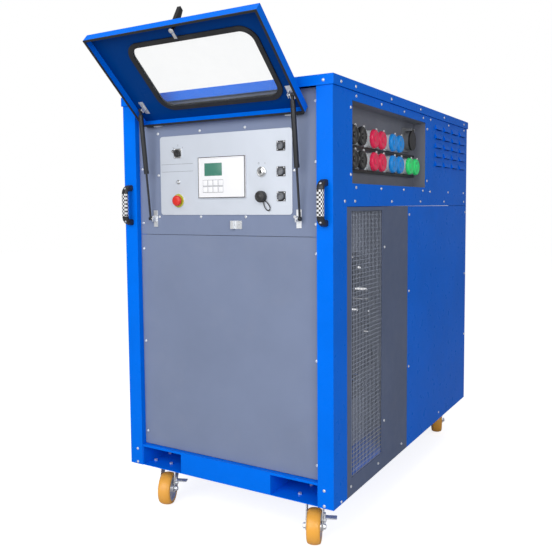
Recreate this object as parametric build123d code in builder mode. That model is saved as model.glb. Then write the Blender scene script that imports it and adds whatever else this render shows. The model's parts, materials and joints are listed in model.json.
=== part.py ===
from build123d import *
import os
from math import atan2, cos, hypot, radians, sin

# Portable generator load bank: a sheet-metal cabinet on four swivel casters.
# Millimetres, +Z up, front faces -Y, origin on the floor under the middle of the
# whole outline, the raised control lid included.

# ---- driving dimensions ------------------------------------------------------
WIDTH = 914.0
DEPTH = 1600.0
BODY_HEIGHT = 1465.0
DECK = 165.0  # floor to the underside of the body
SHEET = 3.0

ROOF_OVERHANG = 5.0
ROOF_SKIRT = 35.0
EAVES = BODY_HEIGHT - ROOF_SKIRT  # underside of the roof skirt above the deck

POST_FACE = 61.0
POST_SIDE = 108.0
POST_INNER = WIDTH / 2 - POST_FACE
PANEL_RECESS = 22.0
FLANGE = 26.0
REAR_FLANGE = 37.0

BASE_HEIGHT = 84.0
POCKET_WIDTH = 190.0
POCKET_BOTTOM = 3.0
POCKET_TOP = 75.0
POCKET_CENTRE = 298.0

SEAM = 1030.0  # joint between the upper and lower side panels
FRONT_SEAM = 930.0
GAP = 1.5

BAY_FRONT, BAY_REAR = 153.0, 938.0
BAY_BOTTOM, BAY_TOP = 1112.0, 1397.0
BAY_FLOOR_X = 400.0
BAY_PANEL_REAR = 978.0

INTAKE_REAR = 711.0
WINDOW_FRONT, WINDOW_REAR = 146.0, 430.0
WINDOW_BOTTOM, WINDOW_TOP = 65.0, 1016.0
MESH_Y, MESH_Z, WIRE = 26.0, 32.0, 2.5

FAN_DEPTH, FAN_HEIGHT, FAN_HOLE = 413.0, 562.0, 290.0
SHROUD_X = 345.0
BLADES = 6
BLADE_TIP = 272.0
HUB_RADIUS = 62.0
SHAFT_RADIUS = 14.0
RUN_FIT = 0.05

LID_WIDTH = 710.0
LID_START, LID_END = 8.0, 407.0
LID_RIM, LID_SKIN = -8.0, 22.0
LID_RISE = 41.8  # degrees above level when the lid is raised
LID_AXIS_DEPTH, LID_AXIS_HEIGHT = 10.0, 1346.5
GASKET = 3.6
GLASS_X, GLASS_S = 34.5, 200.5
CHANNEL_WIDTH, CHANNEL_LENGTH, CHANNEL_RADIUS = 531.0, 295.0, 60.0
HINGE_X = 308.0

STRUT_X = 330.0
STRUT_LOW_HEIGHT = 991.0
STRUT_HIGH_S, STRUT_HIGH_N = 75.0, 6.0
STUD_RADIUS = 4.0

LATCH_X, LATCH_S = 22.0, 385.0

WHEEL_RADIUS, WHEEL_WIDTH = 63.5, 50.0
CASTER_X, CASTER_FRONT = 335.0, 101.0
CASTER_TURN = 22.0  # degrees that the parked wheels stand off straight ahead
TRAIL = 45.0
AXLE_RADIUS = 6.0

CONNECTOR_ROWS = (1287.0, 1201.0)
PAIR_FRONT, PAIR_PITCH, PAIR_SPACING = 257.0, 194.5, 75.0
INLET_DEPTH, INLET_HEIGHT = 830.0, 1310.0

# How far the raised lid stands out in front, and the front face that centres it.
RISE = radians(LID_RISE)
LID_REACH = LID_END * cos(RISE) + (GASKET - LID_RIM) * sin(RISE) - LID_AXIS_DEPTH
FRONT = (LID_REACH - DEPTH - ROOF_OVERHANG) / 2
SIDE_X = WIDTH / 2 - SHEET  # inner face of the side sheets
LOW, MIN2 = Align.MIN, (Align.MIN, Align.MIN)
FLOOR_CENTRE = (Align.CENTER, Align.MIN)


# ---- working planes ----------------------------------------------------------
def front_at(depth):
    """Local X is across, local Y is height above the deck; extrudes forwards."""
    return Plane(origin=(0, FRONT + depth, DECK), x_dir=(1, 0, 0), z_dir=(0, -1, 0))


def side_at(x):
    """Local X is depth behind the front, local Y is height; extrudes to +X."""
    return Plane(origin=(x, FRONT, DECK), x_dir=(0, 1, 0), z_dir=(1, 0, 0))


def level_at(height):
    """Local X is across, local Y is depth behind the front; extrudes up."""
    return Plane(origin=(0, FRONT, DECK + height), x_dir=(1, 0, 0), z_dir=(0, 0, 1))


def lid_at(normal):
    """Local X is across, local -Y runs from the hinge outwards; extrudes outwards."""
    rise = Vector(0, sin(RISE), cos(RISE))
    hinge = Vector(0, FRONT + LID_AXIS_DEPTH, DECK + LID_AXIS_HEIGHT)
    return Plane(origin=hinge + rise * normal, x_dir=(1, 0, 0), z_dir=rise)


def lid_side_at(x):
    """Local X runs from the hinge outwards, local Y is the lid's outward normal."""
    outwards = (0, -cos(RISE), sin(RISE))
    origin = (x, FRONT + LID_AXIS_DEPTH, DECK + LID_AXIS_HEIGHT)
    return Plane(origin=origin, x_dir=outwards, z_dir=(-1, 0, 0))


def caster_at(x, depth, reach=0.0):
    """Upright plane square to an axle: local X runs back past the swivel, Y is up."""
    turn = radians(CASTER_TURN)
    axle = Vector(cos(turn), sin(turn), 0)
    origin = Vector(x, FRONT + depth, 0) + axle * reach
    return Plane(origin=origin, x_dir=(-sin(turn), cos(turn), 0), z_dir=axle)


def save(piece, name):
    """Labels a finished piece and writes it under its node's name."""
    piece.label = name
    export_step(piece, f"parts/{name}.step")


# ---- cabinet structure -------------------------------------------------------
def base_frame():
    pocket_height = POCKET_TOP - POCKET_BOTTOM
    pocket_inner = POCKET_CENTRE - POCKET_WIDTH / 2
    with BuildPart() as base:
        with BuildSketch(front_at(SHEET)):
            Rectangle(2 * POST_INNER, BASE_HEIGHT, align=FLOOR_CENTRE)
            with Locations((-POCKET_CENTRE, POCKET_BOTTOM), (POCKET_CENTRE, POCKET_BOTTOM)):
                Rectangle(POCKET_WIDTH, pocket_height, align=FLOOR_CENTRE, mode=Mode.SUBTRACT)
            Rectangle(
                2 * (pocket_inner - SHEET), BASE_HEIGHT - SHEET,
                align=FLOOR_CENTRE, mode=Mode.SUBTRACT,
            )
        extrude(amount=-(DEPTH - 2 * SHEET))
        # end plates over the hollow middle
        for depth in (SHEET, DEPTH - 2 * SHEET):
            with BuildSketch(front_at(depth)):
                Rectangle(2 * pocket_inner, BASE_HEIGHT, align=FLOOR_CENTRE)
            extrude(amount=-SHEET)
        # box sills behind the side panels, set back where the wire guards hang
        set_back, step = 6.0, 52.0
        sill = SIDE_X - POST_INNER - set_back
        for side in (-1, 1):
            with BuildSketch(front_at(PANEL_RECESS + SHEET + SHEET)):
                with Locations((side * (POST_INNER + sill / 2), 0)):
                    Rectangle(sill, BASE_HEIGHT, align=FLOOR_CENTRE)
                with Locations((side * (SIDE_X - set_back / 2), 0)):
                    Rectangle(set_back, step, align=FLOOR_CENTRE)
                with Locations((side * (POST_INNER + sill / 2), SHEET)):
                    Rectangle(
                        sill - 2 * SHEET, BASE_HEIGHT - 2 * SHEET,
                        align=FLOOR_CENTRE, mode=Mode.SUBTRACT,
                    )
            extrude(amount=-(DEPTH - PANEL_RECESS - 3 * SHEET - REAR_FLANGE))
    save(base.part, "base_frame")


def post_profile(rear):
    """Outline of the right-hand post in depth; a rear post has a short side flange."""
    x_out, x_in, x_face = WIDTH / 2, SIDE_X, POST_INNER
    lap = x_face - FLANGE
    seat = PANEL_RECESS + SHEET
    if not rear:
        return [
            (x_out, POST_SIDE), (x_out, 0), (x_face, 0), (x_face, seat), (lap, seat),
            (lap, seat + SHEET), (x_face + SHEET, seat + SHEET), (x_face + SHEET, SHEET),
            (x_in, SHEET), (x_in, POST_SIDE),
        ]
    end = DEPTH
    return [
        (x_out, end), (x_face, end), (x_face, end - seat), (lap, end - seat),
        (lap, end - seat - SHEET), (x_face + SHEET, end - seat - SHEET),
        (x_face + SHEET, end - SHEET), (x_in - SHEET, end - SHEET),
        (x_in - SHEET, end - REAR_FLANGE), (x_in, end - REAR_FLANGE),
        (x_in, end - SHEET), (x_out, end - SHEET),
    ]


def cabinet_frame():
    lap_width = 2 * (FLANGE + SHEET)
    with BuildPart() as posts:
        with BuildSketch(level_at(0)):
            for rear in (False, True):
                with BuildLine():
                    Polyline(*post_profile(rear), close=True)
                make_face()
            mirror(about=Plane.YZ)
        extrude(amount=EAVES)
        # the panel flanges stop above the base
        with BuildSketch(level_at(0)):
            for depth in (PANEL_RECESS + 1.5 * SHEET, DEPTH - PANEL_RECESS - 1.5 * SHEET):
                for side in (-1, 1):
                    with Locations((side * (POST_INNER - FLANGE / 2), depth)):
                        Rectangle(FLANGE, SHEET + 1)
        extrude(amount=BASE_HEIGHT, mode=Mode.SUBTRACT)
    rail = 24.0
    rail_front = PANEL_RECESS + 3 * SHEET
    rail_length = DEPTH - rail_front - REAR_FLANGE - SHEET
    with BuildPart() as side_rails:
        for bottom, height in ((SEAM + 5, 40.0), (EAVES - 28, 28.0)):
            with BuildSketch(level_at(bottom)):
                with Locations(
                    (SIDE_X - rail / 2, rail_front), (rail / 2 - SIDE_X, rail_front)
                ):
                    Rectangle(rail, rail_length, align=FLOOR_CENTRE)
            extrude(amount=height)
    with BuildPart() as cross_rails:
        for depth in (PANEL_RECESS + SHEET + 16, DEPTH - PANEL_RECESS - 3 * SHEET - rail):
            for bottom, height in ((SEAM + 5, 40.0), (EAVES - 28, 28.0)):
                with BuildSketch(level_at(bottom)):
                    with Locations((0, depth)):
                        Rectangle(2 * (SIDE_X - rail), rail, align=FLOOR_CENTRE)
                extrude(amount=height)
    frame = Compound(children=[posts.part, side_rails.part, cross_rails.part])
    save(frame, "cabinet_frame")


def roof_cap():
    reach = WIDTH + 2 * ROOF_OVERHANG
    length = DEPTH + 2 * ROOF_OVERHANG
    with BuildPart() as roof:
        with BuildSketch(level_at(EAVES)):
            with Locations((0, DEPTH / 2)):
                Rectangle(reach, length)
        extrude(amount=ROOF_SKIRT)
        chamfer(roof.edges().group_by(Axis.Z)[-1], 2.0)
        with BuildSketch(level_at(EAVES)):
            with Locations((0, DEPTH / 2)):
                Rectangle(reach - 2 * SHEET, length - 2 * SHEET)
        extrude(amount=ROOF_SKIRT - SHEET, mode=Mode.SUBTRACT)
    save(roof.part, "roof_cap")


def folded_panel(low, high, name, bored=()):
    """Recessed front panel with its top and bottom edges folded back."""
    fold = 14.0
    width = 2 * POST_INNER - 1.0
    with BuildPart() as panel:
        with BuildSketch(front_at(PANEL_RECESS + SHEET)):
            with Locations((0, low)):
                Rectangle(width, high - low, align=FLOOR_CENTRE)
            for place, radius in bored:
                with Locations(place):
                    Circle(radius, mode=Mode.SUBTRACT)
        extrude(amount=SHEET)
        for edge in (low, high - SHEET):
            with BuildSketch(front_at(PANEL_RECESS + SHEET)):
                with Locations((0, edge)):
                    Rectangle(width - 2 * FLANGE - 4, SHEET, align=FLOOR_CENTRE)
            extrude(amount=-fold)
    save(panel.part, name)


# ---- side and rear sheets ----------------------------------------------------
def outline(front, rear, low, high, mode=Mode.ADD):
    """Rectangle between two depths and two heights, drawn in a side sketch."""
    with Locations((front, low)):
        Rectangle(rear - front, high - low, align=MIN2, mode=mode)


def right_bay_panel():
    with BuildPart() as panel:
        with BuildSketch(side_at(SIDE_X)):
            outline(POST_SIDE + 0.5, BAY_PANEL_REAR, SEAM + GAP, EAVES - 0.5)
            outline(BAY_FRONT, BAY_REAR, BAY_BOTTOM, BAY_TOP, Mode.SUBTRACT)
        extrude(amount=SHEET)
    save(panel.part, "right_bay_panel")


def louvre_panels():
    rise, stand, length = 26.0, 9.0, 94.0
    skin = 2.0
    spots = [(1117.0 + 129.5 * i, 1214.0 + 41.7 * j) for i in range(4) for j in range(5)]
    with BuildPart() as panels:
        with BuildSketch(side_at(SIDE_X)):
            outline(BAY_PANEL_REAR + GAP, DEPTH - SHEET - 0.5, SEAM + GAP, EAVES - 0.5)
        extrude(amount=SHEET)
        for depth, height in spots:
            edge = Plane(
                origin=(SIDE_X + SHEET, FRONT + depth - length / 2, DECK + height),
                x_dir=(1, 0, 0), z_dir=(0, -1, 0),
            )
            with BuildSketch(edge):
                with BuildLine():
                    Polyline((-1, rise), (0, rise), (stand, 0), (-1, 0), close=True)
                make_face()
            extrude(amount=-length)
            inner = Plane(
                origin=edge.origin + Vector(0, skin, 0), x_dir=(1, 0, 0), z_dir=(0, -1, 0)
            )
            with BuildSketch(inner):
                with BuildLine():
                    Polyline(
                        (-SHEET, -1), (-SHEET, rise - 4), (0, rise - 4),
                        (stand - skin, 0), (stand - skin, -1), close=True,
                    )
                make_face()
            extrude(amount=-(length - 2 * skin), mode=Mode.SUBTRACT)
        mirror(about=Plane.YZ)
    save(panels.part, "louvre_panels")


def blank_panels():
    width = 2 * POST_INNER - 1.0
    with BuildPart() as panels:
        with BuildSketch(side_at(-SIDE_X)):
            outline(POST_SIDE + 0.5, BAY_PANEL_REAR, SEAM + GAP, EAVES - 0.5)
        extrude(amount=-SHEET)
        with BuildSketch(front_at(DEPTH - PANEL_RECESS - SHEET)):
            with Locations((0, SEAM + GAP)):
                Rectangle(width, EAVES - SEAM - GAP - 0.5, align=FLOOR_CENTRE)
        extrude(amount=-SHEET)
    save(panels.part, "blank_panels")


def side_rear_panels():
    with BuildPart() as panels:
        with BuildSketch(side_at(SIDE_X)):
            outline(INTAKE_REAR + GAP, DEPTH - SHEET - 0.5, 0, SEAM)
        extrude(amount=SHEET)
        mirror(about=Plane.YZ)
    save(panels.part, "side_rear_panels")


def intake_panels():
    with BuildPart() as panels:
        with BuildSketch(side_at(SIDE_X)):
            outline(POST_SIDE + 0.5, INTAKE_REAR, 0, SEAM)
            outline(WINDOW_FRONT, WINDOW_REAR, WINDOW_BOTTOM, WINDOW_TOP, Mode.SUBTRACT)
        extrude(amount=SHEET)
        mirror(about=Plane.YZ)
    save(panels.part, "intake_panels")


def intake_screen(side, name):
    """Welded wire guard: uprights against the sheet, cross wires behind them."""
    lap = 9.0
    length, height = WINDOW_REAR - WINDOW_FRONT, WINDOW_TOP - WINDOW_BOTTOM
    centre = ((WINDOW_FRONT + WINDOW_REAR) / 2, (WINDOW_BOTTOM + WINDOW_TOP) / 2)
    uprights = int(length // MESH_Y) + 1
    crossings = int(height // MESH_Z) + 1
    with BuildPart() as upright_wires:
        with BuildSketch(side_at(side * SIDE_X)):
            with Locations(centre):
                with GridLocations(MESH_Y, 0, uprights, 1):
                    Rectangle(WIRE, height + 2 * lap)
        extrude(amount=-side * WIRE)
    with BuildPart() as cross_wires:
        with BuildSketch(side_at(side * (SIDE_X - WIRE))):
            with Locations(centre):
                with GridLocations(0, MESH_Z, 1, crossings):
                    Rectangle(length + 2 * lap, WIRE)
        extrude(amount=-side * WIRE)
    save(Compound(children=[upright_wires.part, cross_wires.part]), name)


def exhaust_guard():
    """Rear air outlet: a frame with slanted blades between the rear posts."""
    width = 2 * POST_INNER - 1.0
    low, high, border, blade = BASE_HEIGHT + 2, SEAM, 40.0, 58.0
    count = 14
    pitch = (high - low - 2 * border) / count
    with BuildPart() as guard:
        with BuildSketch(front_at(DEPTH - PANEL_RECESS - SHEET)):
            with Locations((0, low)):
                Rectangle(width, high - low, align=FLOOR_CENTRE)
            with Locations((0, low + border)):
                Rectangle(
                    width - 2 * border, high - low - 2 * border,
                    align=FLOOR_CENTRE, mode=Mode.SUBTRACT,
                )
        extrude(amount=-SHEET)
        for index in range(count):
            height = low + border + pitch * (index + 0.5)
            with BuildSketch(Plane(
                origin=(-width / 2 + border, FRONT + DEPTH - PANEL_RECESS - 1.5 * SHEET,
                        DECK + height),
                x_dir=(0, 1, 0), z_dir=(1, 0, 0),
            )):
                Rectangle(SHEET, blade, rotation=-42)
            extrude(amount=width - 2 * border)
    save(guard.part, "exhaust_guard")


# ---- air and power parts inside ----------------------------------------------
def fan_shrouds():
    """Intake boxes behind the guards, each with a rolled fan ring."""
    front, rear, top = POST_SIDE + 3, INTAKE_REAR + 6, 1020.0
    ring_depth = 58.0
    with BuildPart() as boxes:
        with BuildSketch(side_at(SHROUD_X - SHEET)):
            with Locations((front, BASE_HEIGHT)):
                Rectangle(rear - front, top - BASE_HEIGHT, align=MIN2)
        extrude(amount=SIDE_X - 6 - SHROUD_X + SHEET)
        with BuildSketch(side_at(SHROUD_X)):
            with Locations((front + SHEET, BASE_HEIGHT)):
                Rectangle(
                    rear - front - 2 * SHEET, top - BASE_HEIGHT - SHEET, align=MIN2
                )
        extrude(amount=SIDE_X - SHROUD_X, mode=Mode.SUBTRACT)
        with BuildSketch(side_at(SHROUD_X)):
            with Locations((FAN_DEPTH, FAN_HEIGHT)):
                Circle(FAN_HOLE + SHEET)
        extrude(amount=-ring_depth)
        with BuildSketch(side_at(SHROUD_X)):
            with Locations((FAN_DEPTH, FAN_HEIGHT)):
                Circle(FAN_HOLE)
        extrude(amount=-ring_depth, mode=Mode.SUBTRACT)
        mirror(about=Plane.YZ)
    save(boxes.part, "fan_shrouds")


def fan(side, name):
    """Cambered blades set at a pitch on a hub that turns on the motor shaft."""
    hub_front, hub_depth, root = 338.0, 62.0, 50.0
    half_chord, camber, skin, pitch = 62.0, 12.0, 3.5, radians(38)
    centre = Vector(side * (hub_front - hub_depth / 2), FRONT + FAN_DEPTH, DECK + FAN_HEIGHT)
    with BuildPart() as wheel:
        with BuildSketch(side_at(side * hub_front)):
            with Locations((FAN_DEPTH, FAN_HEIGHT)):
                Circle(HUB_RADIUS)
                Circle(SHAFT_RADIUS + RUN_FIT, mode=Mode.SUBTRACT)
        extrude(amount=-side * hub_depth)
        for index in range(BLADES):
            angle = radians(index * 360 / BLADES + 12)
            out = Vector(0, cos(angle), sin(angle))
            around = Vector(0, -sin(angle), cos(angle))
            across = around * cos(pitch) + Vector(side * sin(pitch), 0, 0)
            with BuildSketch(Plane(origin=centre + out * root, x_dir=across, z_dir=out)):
                with BuildLine():
                    ThreePointArc((-half_chord, 0), (0, camber), (half_chord, 0))
                    ThreePointArc((-half_chord, 0), (0, camber + skin), (half_chord, 0))
                make_face()
            extrude(amount=BLADE_TIP - root)
        # the bore stays open where blade roots cross it
        with BuildSketch(side_at(side * hub_front)):
            with Locations((FAN_DEPTH, FAN_HEIGHT)):
                Circle(SHAFT_RADIUS + RUN_FIT)
        extrude(amount=-side * hub_depth, mode=Mode.SUBTRACT)
    save(wheel.part, name)


def fan_motors():
    """Motor shells on cradle plates that stand on the base."""
    radius, inner_end, outer_end = 84.0, 84.0, 262.0
    with BuildPart() as motors:
        for x in (120.0, 226.0):
            with BuildSketch(side_at(x)):
                with BuildLine():
                    Polyline(
                        (FAN_DEPTH - 150, BASE_HEIGHT), (FAN_DEPTH + 150, BASE_HEIGHT),
                        (FAN_DEPTH + 100, FAN_HEIGHT), (FAN_DEPTH - 100, FAN_HEIGHT),
                        close=True,
                    )
                make_face()
            extrude(amount=6)
        with BuildSketch(side_at(inner_end)):
            with Locations((FAN_DEPTH, FAN_HEIGHT)):
                RegularPolygon(radius, 16)
        extrude(amount=outer_end - inner_end)
        with BuildSketch(side_at(outer_end)):
            with Locations((FAN_DEPTH, FAN_HEIGHT)):
                Circle(SHAFT_RADIUS)
        extrude(amount=336 - outer_end)
        mirror(about=Plane.YZ)
    save(motors.part, "fan_motors")


def resistor_bank():
    """Ribbon elements across the duct, held by two boards on a standing frame."""
    half, board, front, rear, low, high = 330.0, 12.0, 790.0, 1430.0, 150.0, 990.0
    rows, columns = 7, 6
    with BuildPart() as elements:
        with BuildSketch(side_at(-half)):
            with Locations(((front + rear) / 2, (low + high) / 2)):
                with GridLocations((rear - front) / columns, (high - low) / rows, columns, rows):
                    Rectangle(60, 5)
        extrude(amount=2 * half)
    save(elements.part, "resistor_elements")
    with BuildPart() as frame:
        for x in (-half - board, half):
            with BuildSketch(side_at(x)):
                with Locations((front, BASE_HEIGHT)):
                    Rectangle(rear - front, high - BASE_HEIGHT, align=MIN2)
            extrude(amount=board)
        with BuildSketch(level_at(BASE_HEIGHT)):
            with Locations((0, front + 20), (0, rear - 20)):
                Rectangle(2 * half, 40)
        extrude(amount=SHEET * 2)
    save(frame.part, "element_frame")


def contactor_panel():
    """Shelf across the middle rails with the switchgear plate and its contactors."""
    shelf, plate_depth = SEAM + 45, 1250.0
    with BuildPart() as gear:
        with BuildSketch(level_at(shelf)):
            with Locations((0, PANEL_RECESS + 40)):
                Rectangle(2 * SIDE_X - 2, 1490, align=FLOOR_CENTRE)
        extrude(amount=SHEET)
        with BuildSketch(front_at(plate_depth)):
            with Locations((0, shelf + SHEET)):
                Rectangle(760, 300, align=FLOOR_CENTRE)
        extrude(amount=SHEET)
        with BuildSketch(front_at(plate_depth - SHEET)):
            with Locations((0, shelf + 150)):
                with GridLocations(230, 130, 3, 2):
                    Rectangle(140, 90)
        extrude(amount=85)
        with BuildSketch(front_at(plate_depth - SHEET - 85)):
            with Locations((0, shelf + 150)):
                with GridLocations(230, 130, 3, 2):
                    Rectangle(60, 90)
        extrude(amount=25)
    save(gear.part, "contactor_panel")


# ---- connector bay -----------------------------------------------------------
def connector_places():
    """Depth and height of every single-pole connector in the bay."""
    places = []
    for row, height in enumerate(CONNECTOR_ROWS):
        for pair in range(3 + row):
            for offset in (-PAIR_SPACING / 2, PAIR_SPACING / 2):
                places.append((PAIR_FRONT + pair * PAIR_PITCH + offset, height))
    return places


def connector_bay_liner():
    with BuildPart() as liner:
        with BuildSketch(side_at(BAY_FLOOR_X - SHEET)):
            with Locations((BAY_FRONT - SHEET, BAY_BOTTOM - SHEET)):
                Rectangle(
                    BAY_REAR - BAY_FRONT + 2 * SHEET, BAY_TOP - BAY_BOTTOM + 2 * SHEET,
                    align=MIN2,
                )
        extrude(amount=SIDE_X - BAY_FLOOR_X + SHEET)
        with BuildSketch(side_at(BAY_FLOOR_X)):
            with Locations((BAY_FRONT, BAY_BOTTOM)):
                Rectangle(BAY_REAR - BAY_FRONT, BAY_TOP - BAY_BOTTOM, align=MIN2)
        extrude(amount=SIDE_X - BAY_FLOOR_X, mode=Mode.SUBTRACT)
    save(liner.part, "connector_bay_liner")


def connectors():
    flange, body_length, cover_length = 5.0, 25.0, 16.0
    with BuildPart() as bodies:
        with BuildSketch(side_at(BAY_FLOOR_X)):
            with Locations(*connector_places()):
                Rectangle(66, 66)
        extrude(amount=flange)
        with BuildSketch(side_at(BAY_FLOOR_X + flange)):
            with Locations(*connector_places()):
                RegularPolygon(30, 16)
        extrude(amount=body_length - flange)
    save(bodies.part, "connector_bodies")
    with BuildPart() as covers:
        with BuildSketch(side_at(BAY_FLOOR_X + body_length)):
            with Locations(*connector_places()):
                RegularPolygon(36, 24)
        extrude(amount=cover_length)
    save(covers.part, "connector_covers")
    with BuildPart() as rails:
        with BuildSketch(side_at(BAY_FLOOR_X)):
            with Locations(*[(205.0, height - 44) for height in CONNECTOR_ROWS]):
                Rectangle(700, 10, align=MIN2)
        extrude(amount=14)
    save(rails.part, "connector_rails")


def power_inlet():
    body_end, cover_radius, hinge_rise = 428.0, 41.0, 47.0
    with BuildPart() as body:
        with BuildSketch(side_at(BAY_FLOOR_X)):
            with Locations((INLET_DEPTH, INLET_HEIGHT + 5)):
                RectangleRounded(84, 104, 8)
        extrude(amount=6)
        with BuildSketch(side_at(BAY_FLOOR_X + 6)):
            with Locations((INLET_DEPTH, INLET_HEIGHT)):
                Circle(38)
        extrude(amount=body_end - BAY_FLOOR_X - 6)
        with BuildSketch(side_at(BAY_FLOOR_X + 12)):
            with Locations((INLET_DEPTH, INLET_HEIGHT)):
                Circle(31)
        extrude(amount=body_end - BAY_FLOOR_X - 12, mode=Mode.SUBTRACT)
        # hinge ears either side of the cover's knuckle
        for offset in (-17.0, 17.0):
            with BuildSketch(side_at(BAY_FLOOR_X + 6)):
                with Locations((INLET_DEPTH + offset, INLET_HEIGHT + 42)):
                    Rectangle(8, hinge_rise - 36, align=FLOOR_CENTRE)
            extrude(amount=30)
        # hinge pin
        with BuildSketch(front_at(INLET_DEPTH - 13)):
            with Locations((body_end + 3, INLET_HEIGHT + hinge_rise)):
                Circle(2)
        extrude(amount=-26)
    save(body.part, "inlet_body")
    with BuildPart() as cover:
        with BuildSketch(side_at(body_end + 0.5)):
            with Locations((INLET_DEPTH, INLET_HEIGHT)):
                Circle(cover_radius)
            with Locations((INLET_DEPTH, INLET_HEIGHT + 30)):
                Rectangle(25, hinge_rise - 30 + 3, align=FLOOR_CENTRE)
        extrude(amount=7)
        with BuildSketch(front_at(INLET_DEPTH - 14)):
            with Locations((body_end + 3, INLET_HEIGHT + hinge_rise)):
                Circle(2 + RUN_FIT)
        extrude(amount=-28, mode=Mode.SUBTRACT)
    save(cover.part, "inlet_cover")


# ---- control panel -----------------------------------------------------------
PLATE_FACE = PANEL_RECESS - SHEET
SELECTOR, TOGGLE, STOP = (-202.0, 1237.0), (-200.0, 1129.0), (-201.0, 1059.0)
POWER, ROUND_PORT = (171.0, 1156.0), (170.0, 1069.0)
PORTS = ((249.5, 1243.0), (249.5, 1155.0), (249.5, 1069.0))
STOP_STEM, POWER_STEM, TOGGLE_BALL = 11.0, 13.0, 3.0


def control_plate():
    with BuildPart() as plate:
        with BuildSketch(front_at(PANEL_RECESS)):
            with Locations((2, 1154)):
                RectangleRounded(582, 298, 12)
            with Locations(STOP):
                Circle(STOP_STEM + RUN_FIT, mode=Mode.SUBTRACT)
            with Locations(POWER):
                Circle(POWER_STEM + RUN_FIT, mode=Mode.SUBTRACT)
        extrude(amount=SHEET)
    save(plate.part, "control_plate")


def display_module():
    with BuildPart() as module:
        with BuildSketch(front_at(PLATE_FACE)):
            with Locations((1.5, 1142)):
                Rectangle(207, 150)
        extrude(amount=9)
        with BuildSketch(front_at(PLATE_FACE - 9)):
            with Locations((1.5, 1142)):
                Rectangle(193, 136)
        extrude(amount=-1.5, mode=Mode.SUBTRACT)
        with BuildSketch(front_at(PLATE_FACE - 7.5)):
            with Locations((-34, 1171)):
                Rectangle(80, 48)
        extrude(amount=-1.5, mode=Mode.SUBTRACT)
        with BuildSketch(front_at(PLATE_FACE - 7.5)):
            with Locations((-35.5, 1110)):
                with GridLocations(23, 24, 4, 2):
                    Rectangle(20, 20)
        extrude(amount=1)
    save(module.part, "display_module")


def panel_fixtures():
    with BuildPart() as ports:
        with BuildSketch(front_at(PLATE_FACE)):
            with Locations(*PORTS):
                Rectangle(34, 34)
        extrude(amount=3)
        with BuildSketch(front_at(PLATE_FACE - 3)):
            with Locations(*PORTS):
                RegularPolygon(9.5, 12)
        extrude(amount=10)
        with BuildSketch(front_at(PLATE_FACE)):
            with Locations(ROUND_PORT):
                RegularPolygon(19, 24)
        extrude(amount=14)
        with BuildSketch(front_at(PLATE_FACE - 14)):
            with Locations(ROUND_PORT):
                RegularPolygon(15, 24)
        extrude(amount=5)
    save(ports.part, "panel_connectors")
    with BuildPart() as bezels:
        with BuildSketch(front_at(PLATE_FACE)):
            with Locations(SELECTOR):
                Rectangle(36, 36)
            with Locations(STOP):
                RegularPolygon(26, 24)
            with Locations(TOGGLE):
                RegularPolygon(9, 6)
            with Locations(POWER):
                RegularPolygon(19, 24)
            with Locations(STOP):
                Circle(STOP_STEM + RUN_FIT, mode=Mode.SUBTRACT)
            with Locations(POWER):
                Circle(POWER_STEM + RUN_FIT, mode=Mode.SUBTRACT)
            with Locations(TOGGLE):
                Rectangle(TOGGLE_BALL * 2, TOGGLE_BALL * 2 + 0.3, mode=Mode.SUBTRACT)
        extrude(amount=3)
    save(bezels.part, "switch_bezels")


def controls():
    with BuildPart() as knob:
        with BuildSketch(front_at(PLATE_FACE - 3)):
            with Locations(SELECTOR):
                RegularPolygon(14, 16)
        extrude(amount=7)
        with BuildSketch(front_at(PLATE_FACE - 10)):
            with Locations(SELECTOR):
                Rectangle(34, 9, rotation=-35)
        extrude(amount=11)
    save(knob.part, "selector_knob")
    with BuildPart() as stop:
        with BuildSketch(front_at(PANEL_RECESS)):
            with Locations(STOP):
                Circle(STOP_STEM)
        extrude(amount=10 + SHEET)
        with BuildSketch(front_at(PLATE_FACE - 10)):
            with Locations(STOP):
                Circle(20)
        extrude(amount=11)
        chamfer(stop.faces().sort_by(Axis.Y)[0].edges(), 5)
    save(stop.part, "estop_button")
    with BuildPart() as toggle:
        # a short cross barrel that rocks in the bezel
        with BuildSketch(side_at(TOGGLE[0] - TOGGLE_BALL + 0.1)):
            with Locations((PLATE_FACE - TOGGLE_BALL, TOGGLE[1])):
                Circle(TOGGLE_BALL)
        extrude(amount=2 * TOGGLE_BALL - 0.2)
        with BuildSketch(front_at(PLATE_FACE - TOGGLE_BALL)):
            with Locations(TOGGLE):
                RegularPolygon(2.4, 8)
        extrude(amount=13)
    save(toggle.part, "toggle_lever")
    with BuildPart() as power:
        with BuildSketch(front_at(PANEL_RECESS)):
            with Locations(POWER):
                Circle(POWER_STEM)
        extrude(amount=9 + SHEET)
    save(power.part, "power_button")


# ---- lid ---------------------------------------------------------------------
def lid_outline(inset):
    """Rectangle of the lid, drawn inside a lid-plane sketch."""
    length = LID_END - LID_START
    with Locations((0, -(LID_START + LID_END) / 2)):
        Rectangle(LID_WIDTH - 2 * inset, length - 2 * inset)


def window_outline(inset, mode=Mode.ADD):
    with Locations((GLASS_X, -GLASS_S)):
        RectangleRounded(
            CHANNEL_WIDTH - 2 * inset, CHANNEL_LENGTH - 2 * inset,
            CHANNEL_RADIUS - inset, mode=mode,
        )


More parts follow.
